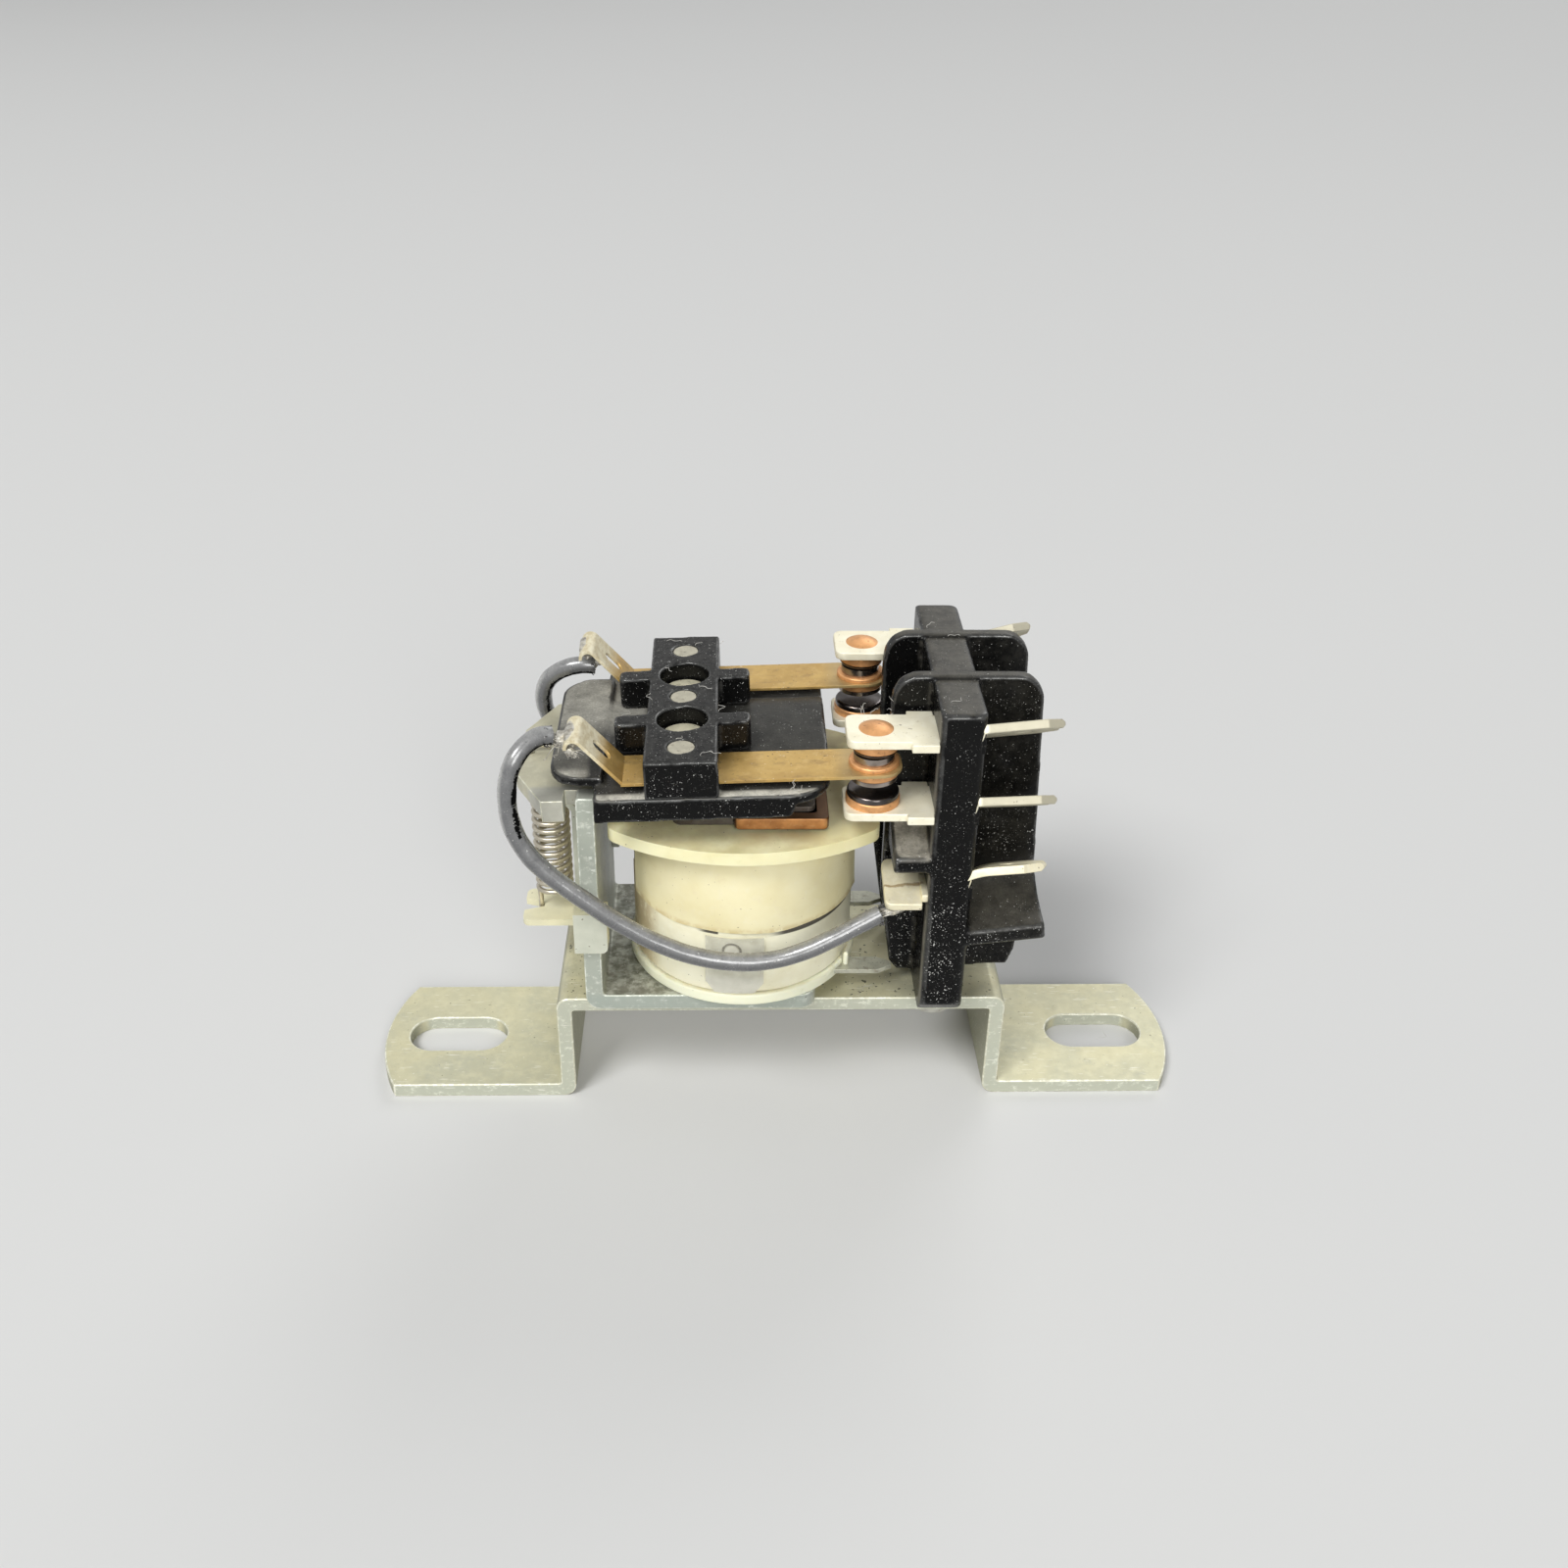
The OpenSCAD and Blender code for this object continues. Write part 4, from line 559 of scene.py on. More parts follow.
def clear_tape():
    """A patch of old clear tape: greyed, wrinkled, with a milky rim."""
    f = Finish("clear_tape", roughness=0.22, Alpha=0.55, Coat_Weight=0.4, Coat_Roughness=0.12)
    f.base(f.patches(1.2, 0.3, 0.7, 4), (0.8, 0.785, 0.66), (0.64, 0.625, 0.51))
    f.over((0.9, 0.89, 0.82), f.place("Z", 17.6, 16.6), 0.5)
    f.over((0.92, 0.92, 0.88), f.grit(0.3, 0.3), 0.7)
    # the round print of the joint that lies under the patch: away is the square of the distance from it
    here = f.vector("SUBTRACT", f.mm, (-4.9, 0, 20.2))
    away = f.math("ADD", f.math("POWER", f.part(here, "X"), 2.0), f.math("POWER", f.part(here, "Z"), 2.0))
    ring = f.times(f.mask(away, 0.42, 0.6), f.mask(away, 1.0, 0.8), f.patches(0.6, 0.2, 0.5, 3))
    f.over((0.11, 0.1, 0.085), ring, 0.75)
    f.over((0.88, 0.86, 0.76), f.mask(away, 0.42, 0.3), 0.5)
    f.relief(0.7, 0.06)
    f.material.surface_render_method = "BLENDED"
    return f.material


def tinned():
    """The contact terminals: pale tin, stained brown in places. The strips in the block are painted paler as
    painted light, against the shadow they lie in, and the tabs outside it are greyer as painted shade.
    """
    f = Finish("tinned_brass", metallic=0.3, Specular_IOR_Level=0.3)
    # painted light: the tin is painted this pale so that the strips in the block's shadow read bright
    f.base(f.patches(2.4, 0.3, 0.7, 4, warp=0.6), (0.93, 0.89, 0.71), (0.84, 0.79, 0.6))
    f.over((0.9, 0.87, 0.73), f.patches(0.9, 0.5, 0.72, 5, 0.7), 0.5)
    f.over((0.48, 0.41, 0.26), f.patches(0.7, 0.58, 0.74, 5, 0.7), 0.5)
    # painted shade: the tabs outside the block are greyer
    f.over((0.42, 0.39, 0.29), f.place("X", 16.9, 17.3), 0.8)
    f.over((0.16, 0.13, 0.09), f.grit(0.36, 0.15), 0.75)
    f.gloss(0.8, 0.44, 0.66)
    f.relief(0.3, 0.012)
    f.relief(1.5, 0.03, 2)
    return f.material


def soldered_lug():
    """The common terminals: rough, whitish where the solder ran, with a brown line of flux across the lug."""
    f = Finish("soldered_lug", metallic=0.3)
    f.base(f.patches(1.6, 0.3, 0.7, 5, 0.65), (0.9, 0.83, 0.59), (0.77, 0.71, 0.51))
    f.over((0.92, 0.87, 0.7), f.patches(0.6, 0.46, 0.7, 5, 0.7), 0.6)
    across = f.math("ADD", f.part(f.mm, "Y"), f.math("MULTIPLY", f.math("SUBTRACT", f.noise(1.6, 3), 0.5), 1.6))
    line = f.times(f.mask(across, -9.6, -9.35), f.mask(across, -9.0, -9.2), f.place("X", 13.0, 12.6))
    f.over((0.33, 0.21, 0.08), line, 0.75)
    f.over((0.22, 0.16, 0.08), f.grit(0.4, 0.4), 0.8)
    f.gloss(0.5, 0.36, 0.6)
    f.relief(0.4, 0.03, 4, 0.65)
    return f.material


def sleeve_tear():
    """The black inside of the sleeve where it has torn, with pale flakes."""
    f = Finish("sleeve_tear", roughness=0.9, Specular_IOR_Level=0.05)
    flakes = f.patches(0.4, 0.66, 0.69, 3, 0.7)
    f.base(flakes, (0.003, 0.003, 0.003), (0.55, 0.55, 0.52))
    return f.material


def blade_brass():
    """Contact blades: golden bronze strip with brown stains, tinned and pale on the lug."""
    f = Finish("blade_brass", metallic=0.6)
    f.base(f.patches(3.0, 0.3, 0.7, 4, warp=0.5), (0.61, 0.41, 0.135), (0.5, 0.32, 0.1))
    f.over((0.7, 0.5, 0.21), f.patches(0.9, 0.5, 0.7, 5, 0.7), 0.5)
    stain = f.patches(1.3, 0.5, 0.7, 6, 0.72, vector=f.stretched((1.8, 1, 1)))
    f.over((0.3, 0.19, 0.075), stain, 0.6)
    f.over(f.mix(f.noise(1.0, 4), (0.38, 0.29, 0.15), (0.54, 0.42, 0.22)), f.place("X", 3.6, 5.6), 0.6)
    f.over((0.13, 0.09, 0.05), f.grit(0.3, 0.45), 0.7)
    f.over((0.85, 0.8, 0.66), f.grit(0.24, 0.2), 0.7)
    lug = f.place("X", -15.6, -17.0)
    brushed = f.noise(0.5, 5, 0.7, vector=f.stretched((1, 2.4, 1)))
    soldered = f.mix(f.mask(brushed, 0.35, 0.65), (0.78, 0.74, 0.56), (0.58, 0.51, 0.33))
    f.over(soldered, lug, 0.9)
    f.set("Metallic", f.number(lug, 0.6, 0.15))
    f.set("Roughness", f.number(lug, f.number(f.noise(0.6, 4), 0.3, 0.52), 0.55))
    f.relief(0.22, 0.01)
    f.relief(2.4, 0.04, 2)
    return f.material


def copper(name, light, dark, stain, **constants):
    """Bare copper, mottled and stained."""
    f = Finish(name, metallic=0.5, **constants)
    f.base(f.patches(1.2, 0.3, 0.7, 4), light, dark)
    f.over(stain, f.patches(0.5, 0.56, 0.72, 5), 0.6)
    f.gloss(0.5, 0.32, 0.5)
    f.relief(0.25, 0.008, 3)
    return f


def contact_copper():
    """The bodies of the contacts."""
    tints = (0.8, 0.42, 0.18), (0.58, 0.29, 0.12), (0.22, 0.1, 0.045)
    return copper("contact_copper", *tints, Specular_IOR_Level=0.3).material


def ring_copper():
    """The shading ring: every face but its front one is painted dark, as painted shade where it lies under the
    armature.
    """
    f = copper("ring_copper", (0.62, 0.29, 0.1), (0.42, 0.18, 0.06), (0.6, 0.38, 0.18))
    # painted shade on all faces but the front one
    f.over((0.055, 0.03, 0.016), f.facing("Y", -0.85, -0.6), 0.85)
    return f.material


def contact_silver(name, light, dark):
    """Tarnished silver, polished by use: dark, with bright rims."""
    f = Finish(name, metallic=0.95)
    f.base(f.patches(1.4, 0.3, 0.7, 3), light, dark)
    f.over((0.16, 0.11, 0.07), f.patches(0.8, 0.58, 0.74, 4), 0.5)
    f.gloss(0.8, 0.16, 0.26, 2)
    return f.material


def spring_wire():
    """The return spring: grey wire with brown spots."""
    f = Finish("spring_wire", metallic=0.85)
    f.base(f.noise(0.8, 4), (0.6, 0.56, 0.46), (0.42, 0.38, 0.3))
    f.over((0.24, 0.17, 0.09), f.patches(0.7, 0.58, 0.72, 5), 0.6)
    f.gloss(0.5, 0.24, 0.4, 3)
    return f.material


def sleeve():
    """Grey insulation, lightly wrinkled, with dust on top that is also painted light, and a painted highlight along
    its left-facing side.
    """
    f = Finish("wire_sleeve", Specular_IOR_Level=0.7, Coat_Weight=1.0, Coat_Roughness=0.16)
    base = f.mix(f.noise(1.4, 4), (0.058, 0.059, 0.062), (0.105, 0.106, 0.11))
    up = f.facing("Z", -0.25, 0.95)
    # the film: dust on the upper side, made pale also as painted light on top
    film = f.times(up, f.patches(1.1, 0.1, 0.7, 6, 0.7), 0.42)
    # painted highlight: a pale streak along the faces that look to -X
    outer = f.times(f.facing("X", -0.35, -0.9), f.number(f.noise(0.9, 4, 0.7), 0.35, 0.85))
    f.base(f.either(film, outer), base, (0.5, 0.5, 0.475))
    f.over((0.62, 0.62, 0.58), f.grit(0.3, 0.35), 0.7)
    f.over((0.012, 0.012, 0.012), f.grit(0.4, 0.3, cluster=4), 0.8)
    f.gloss(0.5, 0.18, 0.34)
    f.relief(0.24, 0.012, 5, 0.65)
    f.relief(1.1, 0.05, 3)
    return f.material


def strand_metal():
    """Bare strands and solder."""
    f = Finish("strand_tin", metallic=0.4)
    f.base(f.patches(0.5, 0.35, 0.65, 3), (0.56, 0.54, 0.48), (0.27, 0.25, 0.21))
    f.over((0.66, 0.61, 0.47), f.patches(0.9, 0.5, 0.7, 4), 0.6)
    f.gloss(0.3, 0.4, 0.6, 3)
    return f.material


def fuzz():
    """Dark cotton at the cut ends of the insulation."""
    f = Finish("cut_insulation", roughness=0.8)
    f.base(f.noise(0.3, 3), (0.02, 0.02, 0.02), (0.16, 0.155, 0.15))
    f.over((0.6, 0.58, 0.54), f.grit(0.2, 0.6))
    return f.material


def screw_plate(name, tone):
    """Small plated metal parts: stained and pitted."""
    f = Finish(name, metallic=0.4)
    f.base(f.patches(0.9, 0.3, 0.7, 5), tone, tuple(0.8 * c for c in tone))
    f.over((0.2, 0.16, 0.11), f.patches(0.5, 0.54, 0.72, 5), 0.6)
    f.over((0.08, 0.07, 0.06), f.grit(0.24, 0.5), 0.7)
    f.gloss(0.4, 0.32, 0.56)
    f.relief(0.24, 0.02)
    return f.material


def lint():
    """Pale settled fibres."""
    f = Finish("lint", roughness=0.9)
    f.base(f.noise(0.5, 2), (0.7, 0.69, 0.65), (0.52, 0.5, 0.45))
    return f.material


# ---------------------------------------------------------------- modifiers
def modify(piece, name, kind, **settings):
    modifier = piece.modifiers.new(name, kind)
    for key, value in settings.items():
        setattr(modifier, key, value)


def round_off(piece, edge, segments=2, **more):
    """Rounds the sharp edges of a piece by edge millimetres and splits its shading at those that stay sharp."""
    if edge:
        more = {"limit_method": "ANGLE", "angle_limit": BEVEL_ABOVE, **more}
        modify(piece, "edges", "BEVEL", width=edge * MM, segments=segments, **more)
    modify(piece, "creases", "EDGE_SPLIT", split_angle=SPLIT_ABOVE)
    modify(piece, "normals", "WEIGHTED_NORMAL", keep_sharp=True)


def cleaned(node, *materials):
    """A CAD node with new materials, its facets welded and merged to faces, ready to be rounded."""
    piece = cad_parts[node]
    mesh = piece.data
    mesh.materials.clear()
    for material in materials:
        mesh.materials.append(material)
    if "custom_normal" in mesh.attributes:
        mesh.attributes.remove(mesh.attributes["custom_normal"])
    mesh.shade_smooth()
    modify(piece, "weld", "WELD", merge_threshold=WELD_WITHIN)
    modify(piece, "flatten", "DECIMATE", decimate_type="DISSOLVE", angle_limit=MERGE_BELOW)
    return piece


def dress(node, material, edge, segments=2, worn=None):
    """Gives a CAD node its material and rounds its sharp edges, which may have a worn material of their own."""
    piece = cleaned(node, material, worn) if worn else cleaned(node, material)
    round_off(piece, edge, segments, miter_outer="MITER_ARC", material=1 if worn else -1)


def soften(node, material, grain, rounds):
    """Gives a CAD node its material and rounds all its edges and inner corners, as a moulding has them."""
    piece = cleaned(node, material)
    modify(piece, "soften", "REMESH", mode="VOXEL", voxel_size=grain * MM, use_smooth_shade=True)
    modify(piece, "smooth", "SMOOTH", factor=0.5, iterations=rounds)


# ---------------------------------------------------------------- shapes. A part of a piece is (vertices, faces).
def new_piece(name, parts, material, body=ROOT, replaces=()):
    """A mesh piece from parts in millimetres. It rides on a body and may stand for CAD nodes."""
    vertices, faces = joined(parts)
    mesh = bpy.data.meshes.new(name)
    mesh.from_pydata([Vector(v) * MM for v in vertices], [], faces)
    mesh.validate()
    mesh.shade_smooth()
    mesh.materials.append(material)
    piece = add_object(name, mesh)
    if body:
        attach(piece, body)
    if replaces:
        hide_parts(*replaces)
    return piece


def joined(parts):
    """Several parts as one."""
    vertices, faces = [], []
    for more_vertices, more_faces in parts:
        start = len(vertices)
        vertices += more_vertices
        faces += [tuple(start + i for i in face) for face in more_faces]
    return vertices, faces


def moved(part, matrix):
    vertices, faces = part
    return [matrix @ Vector(v) for v in vertices], faces


def opened(point):
    """A point of the armature assembly as drawn closed, turned to its open place."""
    return Matrix.Rotation(-OPEN_ANGLE, 3, "Y") @ (Vector(point) - PIVOT) + PIVOT


def polar(x, y, radius, angle):
    """The point at an angle on a circle round (x, y)."""
    return x + radius * math.cos(angle), y + radius * math.sin(angle)


def rounded(x, y, radius, start):
    """Points of a rounded corner, a quarter turn from the angle start in degrees."""
    steps = 5
    return [polar(x, y, radius, math.radians(start + 90 * k / steps)) for k in range(steps + 1)]


def oblong(x0, x1, half):
    """A rectangle between two X, and half a width to either side of the X axis."""
    return [(x0, -half), (x1, -half), (x1, half), (x0, half)]


def loop(start, size):
    """The edges of a closed outline whose points are numbered from start."""
    return [(start + k, start + (k + 1) % size) for k in range(size)]


def tube_faces(steps, sides, capped=True):
    """Faces between rings of points, one more than steps, and the two flat ends."""
    faces = [(a, b, b + sides, a + sides) for i in range(steps) for a, b in loop(i * sides, sides)]
    if capped:
        faces.append(tuple(reversed(range(sides))))
        faces.append(tuple(steps * sides + k for k in range(sides)))
    return faces


def smooth_route(points, steps):
    """Points of a Catmull-Rom curve through a route, with steps pieces between two of its points."""
    points = [Vector(p) for p in points]
    last = len(points) - 1
    made = []
    for i in range(last):
        a, b, c, d = points[max(i - 1, 0)], points[i], points[i + 1], points[min(i + 2, last)]
        first, second, third = c - a, 2 * a - 5 * b + 4 * c - d, 3 * b - a - 3 * c + d
        for j in range(steps):
            t = j / steps
            made.append(0.5 * (2 * b + first * t + second * t * t + third * t**3))
    return made + [points[-1]]


def sweep(points, radius, sides, side=(0, 1, 0)):
    """A round tube along points. radius is a number or a function of (step, angle). side is where it starts."""
    points = [Vector(p) for p in points]
    side = Vector(side)
    vertices = []
    last = len(points) - 1
    for i, p in enumerate(points):
        along = (points[min(i + 1, last)] - points[max(i - 1, 0)]).normalized()
        side = (side - side.dot(along) * along).normalized()
        other = along.cross(side)
        for k in range(sides):
            a = math.tau * k / sides
            r = radius(i, a) if callable(radius) else radius
            vertices.append(p + r * (math.cos(a) * side + math.sin(a) * other))
    return vertices, tube_faces(last, sides)


def three_phases(rand):
    return [rand.uniform(0, RANDOM_TURN) for _ in range(3)]


# ---------------------------------------------------------------- pigtails and spring
def tear_open(piece, path, seed):
    """Gives the second material to a jagged line along the inside of a lead's upper bend."""
    rand = random.Random(seed)
    bend_middle, lowest = Vector((-20.0, 0.0, 34.5)), 33.6
    first_step, first_gap = 3, 60
    to_gap, to_line = 0.03, 0.35
    # low and high are the line's wandering edges, as cosines of the angle from the bend's middle
    low, high, present = 0.5, 0.8, True
    for i, point in enumerate(path[:-1]):
        low = min(max(low + rand.uniform(-0.07, 0.07), 0.4), 0.56)
        high = min(max(high + rand.uniform(-0.06, 0.06), 0.66), 0.9)
        if rand.random() < (to_gap if present else to_line):
            present = not present
        if point.z < lowest or i < first_step or not (present or i < first_gap):
            continue
        inward = (bend_middle - Vector((point.x, 0, point.z))).normalized()
        for face in piece.data.polygons[i * LEAD_SIDES : (i + 1) * LEAD_SIDES]:
            if low < face.normal.dot(inward) < high:
                face.material_index = 1


def make_pigtail(name, route, node, material, tear):
    """An insulated lead from the armature to a common terminal."""
    path = smooth_route(route, LEAD_STEPS)
    phases = three_phases(random.Random(len(name)))

    def radius(i, a):
        """A slightly uneven sleeve, a little under its full size."""
        i /= 2.5
        wave = math.sin(0.37 * i + phases[0]) + 0.6 * math.sin(0.11 * i + 2 * a + phases[1])
        wave += 0.5 * math.sin(0.83 * i - a + phases[2])
        return PIGTAIL_D / 2 - 0.03 + 0.012 * wave

    tube = sweep(path, radius, LEAD_SIDES)
    piece = new_piece(name, [tube], material, body=None, replaces=(node,))
    piece.data.materials.append(tear)
    tear_open(piece, path, seed=len(node))
    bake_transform(piece)


def make_spring(material):
    """The return spring with its hooks, as one wire."""
    r = (SPRING_D - WIRE_D) / 2
    z0 = FORK_Z + CLIP_T + 2.3
    z1 = z0 + SPRING_PITCH * SPRING_TURNS
    turns = []
    for i in range(COIL_STEPS * SPRING_TURNS + 1):
        a = math.tau * i / COIL_STEPS
        turns.append(Vector((SPRING_X - r * math.cos(a), -r * math.sin(a), z0 + SPRING_PITCH * i / COIL_STEPS)))
    x = SPRING_X - r + 0.15
    top, low = ARM_TOP + 0.35, FORK_Z - 0.33
    low_hook = [
        (x + 1.9, 0, low - 0.05), (x + 1.1, 0, low - 0.3), (x + 0.35, 0, low - 0.05),
        (x, 0, low + 0.6), (x, 0, FORK_Z + CLIP_T + 0.8), (x - 0.05, 0, z0 - 0.7), (x - 0.12, 0, z0 - 0.2),
    ]
    top_hook = [
        (x - 0.12, 0, z1 + 0.2), (x - 0.05, 0, z1 + 0.7), (x, 0, top - 1.6), (x, 0, top - 0.6),
        (x + 0.35, 0, top - 0.05), (x + 1.1, 0, top + 0.15), (x + 1.9, 0, top - 0.05),
    ]
    wire = sweep(smooth_route(low_hook, 6) + turns + smooth_route(top_hook, 6), WIRE_D / 2, 12)
    piece = new_piece("spring_coil", [wire], material, body=None, replaces=("return_spring",))
    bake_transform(piece)


# ---------------------------------------------------------------- labels
def wrap_sheet(name, node, material, radius, heights, angles, relief, thick=0.1, columns=160, rows=16):
    """A sheet round the winding, between two heights and two angles in degrees.

    relief(u, v, angle) gives how far it stands off and how far its point moves along Z. Both are in millimetres.
    """
    (z0, z1), (start, end) = heights, angles
    vertices = []
    for outer in (0, 1):
        for j in range(rows + 1):
            for i in range(columns + 1):
                u, v = i / columns, j / rows
                a = math.radians(start + (end - start) * u)
                lift, rise = relief(u, v, a)
                vertices.append((*polar(CORE_X, 0, radius + lift + outer * thick, a), z0 + (z1 - z0) * v + rise))
    across, sheet = columns + 1, (columns + 1) * (rows + 1)
    faces = []
    for j in range(rows):
        for i in range(columns):
            q = j * across + i
            faces.append((q, q + across, q + across + 1, q + 1))
            faces.append((sheet + q, sheet + q + 1, sheet + q + across + 1, sheet + q + across))
    bottom = [(q, q + 1, sheet + q + 1, sheet + q) for q in range(columns)]
    left = [(q, sheet + q, sheet + q + across, q + across) for q in range(0, rows * across, across)]
    for rim, shift in ((bottom, rows * across), (left, columns)):
        for face in rim:
            faces += [face, tuple(shift + i for i in reversed(face))]
    piece = new_piece(name, [(vertices, faces)], material, replaces=(node,))
    modify(piece, "creases", "EDGE_SPLIT", split_angle=SPLIT_ABOVE)


def bell(x):
    """1 at 0, falling smoothly to 0 at 1 and -1."""
    return (1 - min(abs(x), 1.0) ** 2) ** 2


def make_labels():
    """The two paper labels and the patch of clear tape over them."""
    tape_w, tape_h = 5.6, 6.4

    def lower(u, v, a):
        puff = 0.015 * (1 + math.sin(9 * a + 1.0) * math.sin(4 * v + 2.0))
        return puff, 0.05 * (1 - v) * math.sin(7 * a)

    def upper(u, v, a):
        puff = 0.02 * (1 + math.sin(8 * a) * math.sin(5 * v + 1.0))
        # its lower edge stands off at the right, and both ends curl a little
        off = 0.16 * max(0.0, (u - 0.42) / 0.58) ** 0.7 * (1 - v) ** 3
        ends = 0.1 * (max(0.0, 1 - u / 0.04) ** 2 + max(0.0, (u - 0.97) / 0.03) ** 2)
        return puff + off + ends, (1 - v) * (0.04 * math.sin(6 * a) + 0.03 * math.sin(13 * a + 2))

    def tape(u, v, a):
        # the round print of the joint under it, wrinkles, and cut lower corners
        from_joint = math.hypot((u - 0.5) * tape_w, (v - 0.66) * tape_h)
        print_height = 0.28 * bell(from_joint / 1.15) + 0.08 * bell((from_joint - 1.0) / 0.35)
        wrinkle = 0.03 * (1 + math.sin(11 * v + 3 * u) * math.sin(5 * u + 1))
        return 0.02 + print_height + wrinkle, 1.1 * max(0.0, 1 - min(u, 1 - u) / 0.16) * (1 - v)

    low, high = WINDING_Z0, WINDING_Z1
    wrap_sheet(
        "lower_wrap", "lower_label", lower_paper(), WINDING_R + 0.02, (low + 0.06, low + 9.4), (190, 352), lower
    )
    wrap_sheet(
        "upper_wrap", "upper_label", upper_paper(), WINDING_R + 0.15, (high - 8.58, high - 0.02), (200, 348), upper
    )
    wrap_sheet(
        "tape_wrap", "tape_patch", clear_tape(), WINDING_R + 0.3, (low + 0.02, low + tape_h), (251, 280), tape,
        thick=0.05, columns=48, rows=48,
    )


# ---------------------------------------------------------------- terminals
def flat_plate(outline, thickness, hole=None, tip=None, folds=0):
    """A plate drawn in X and Y, from -thickness / 2 to thickness / 2. hole is (x, y, radius), for a convex outline.

    tip gives the half thickness of the points farthest along X. The first points of the outline are folds on
    one long edge, and its last points are the same folds on the other edge in reverse.
    """
    count = len(outline)
    points, cells, rim = outline, [range(count)], []
    if hole:
        x, y, radius = hole
        circle = [polar(x, y, radius, math.tau * k / HOLE_SIDES) for k in range(HOLE_SIDES)]
        rim = loop(count, HOLE_SIDES)
        creases = [(i, count - 1 - i) for i in range(1, folds)]
        flat = [Vector(p) for p in outline + circle]
        points, _, cells, *_ = delaunay_2d_cdt(flat, loop(0, count) + rim + creases, [], 0, TINY)

        def off_centre(cell):
            return (sum((points[i] for i in cell), Vector((0, 0))) / len(cell) - Vector((x, y))).length

        cells = [cell for cell in cells if off_centre(cell) > 0.99 * radius]
    far = max(x for x, _ in outline)
    vertices = []
    for z in (thickness / 2, -thickness / 2):
        for x, y in points:
            vertices.append(Vector((x, y, math.copysign(tip, z) if tip and x > far - TINY else z)))
    n = len(points)
    faces = [tuple(c) for c in cells] + [tuple(n + i for i in reversed(c)) for c in cells]
    faces += [(a, n + a, n + b, b) for a, b in loop(0, count)]
    faces += [(b, n + b, n + a, a) for a, b in rim]
    return vertices, faces


def twisted_tab(z, rise, bend):
    """A tab outside the block: a neck inside the block turns it, then comes a blade with a hole and a thin tip.

    It rises by an angle, and bend takes part of that back over the blade's first millimetres.
    """
    buried, neck, reach, folds, steps = 0.25, 0.5, 2.8, 8, 8
    root, length = BLOCK_X1 - buried, TAB_L + buried
    half, tip, chamfer, nose = TAB_W / 2, TAB_W / 4, 1.7, 0.25
    hole = (length - 3.4, 0, 0.8)
    edge = [(reach * i / folds, -half) for i in range(folds)]
    edge += [(length - chamfer, -half), (length - nose, -tip), (length, -0.8 * tip)]
    outline = edge + [(x, -y) for x, y in reversed(edge)]
    vertices, faces = flat_plate(outline, TAB_T, hole, tip=0.17, folds=folds)
    bent = []
    for v in vertices:
        t = min(v.x / reach, 1.0)
        angle = math.radians(bend) * t
        # the middle line of the bend
        x = reach * t * math.cos(angle / 2) + (v.x - reach * t) * math.cos(angle)
        drop = reach * t * math.sin(angle / 2) + (v.x - reach * t) * math.sin(angle)
        bent.append(Vector((x + v.z * math.sin(angle), v.y, v.z * math.cos(angle) - drop)))
    turn = Matrix.Rotation(math.radians(-rise), 4, "Y") @ Matrix.Rotation(math.radians(-TAB_TWIST), 4, "X")
    blade = moved((bent, faces), Matrix.Translation((root, 0, z)) @ turn)
    vertices = []
    for i in range(steps + 1):
        t = i / steps
        turn = Matrix.Rotation(math.radians(-TAB_TWIST * t), 3, "X")
        width = BODY_W + (TAB_W - BODY_W) * t
        middle = Vector((root - neck + neck * t, 0, z))
        for y, h in ((-1, -1), (1, -1), (1, 1), (-1, 1)):
            vertices.append(middle + turn @ Vector((0, y * width / 2, h * TAB_T / 2 * 0.98)))
    return joined([blade, (vertices, tube_faces(steps, 4))])


def make_terminal(name, side, z, rise, material, bend=0.0, contact=True):
    """A terminal of one pole, from its contact or solder lug through the block to its tab."""
    if contact:
        # a wide strip with rounded corners, narrower towards the block and in it
        x0, half, corner = CONTACT_X - 2.65, 2.55, 0.9
        step, wall, last = BLOCK_X0 - 2.4, BLOCK_X0 - 0.02, BLOCK_X1 - 0.6
        wide, narrow = TAB_W / 2, BODY_W / 2
        edge = [(step, -half), (step, -wide), (wall, -wide), (wall, -narrow), (last, -narrow)]
        outline = rounded(x0 + corner, -half + corner, corner, 180) + edge
        outline += [(x, -y) for x, y in reversed(edge)] + rounded(x0 + corner, half - corner, corner, 90)
        parts = [moved(flat_plate(outline, TAB_T), Matrix.Translation((0, 0, z + TAB_T / 2)))]
    else:
        # a lug that leans outwards, and the strip that joins it to the tab
        low, reach, half, corner, lean = z + TAB_T / 2 - 0.9, 3.4, 2.95, 0.7, math.radians(12)
        outline = rounded(corner, -half + corner, corner, 180) + [(reach, -half), (reach, half)]
        outline += rounded(corner, half - corner, corner, 90)
        place = Matrix.Translation((BLOCK_X0 - 0.48, 0, low)) @ Matrix.Rotation(-side * lean, 4, "X")
        strip = oblong(BLOCK_X0 - 0.5, BLOCK_X0 + 0.4, BODY_W / 2)
        parts = [
            moved(flat_plate(outline, TAB_T), place @ Matrix.Translation((-reach, 0, 0))),
            moved(flat_plate(strip, TAB_T), Matrix.Translation((0, 0, low))),
        ]
    parts.append(twisted_tab(z + TAB_T / 2, rise, bend))
    pole = moved(joined(parts), Matrix.Translation((0, side * POLE_Y, 0)))
    piece = new_piece(name + "_strip", [pole], material, replaces=(name + "_terminal",))
    round_off(piece, 0.1)


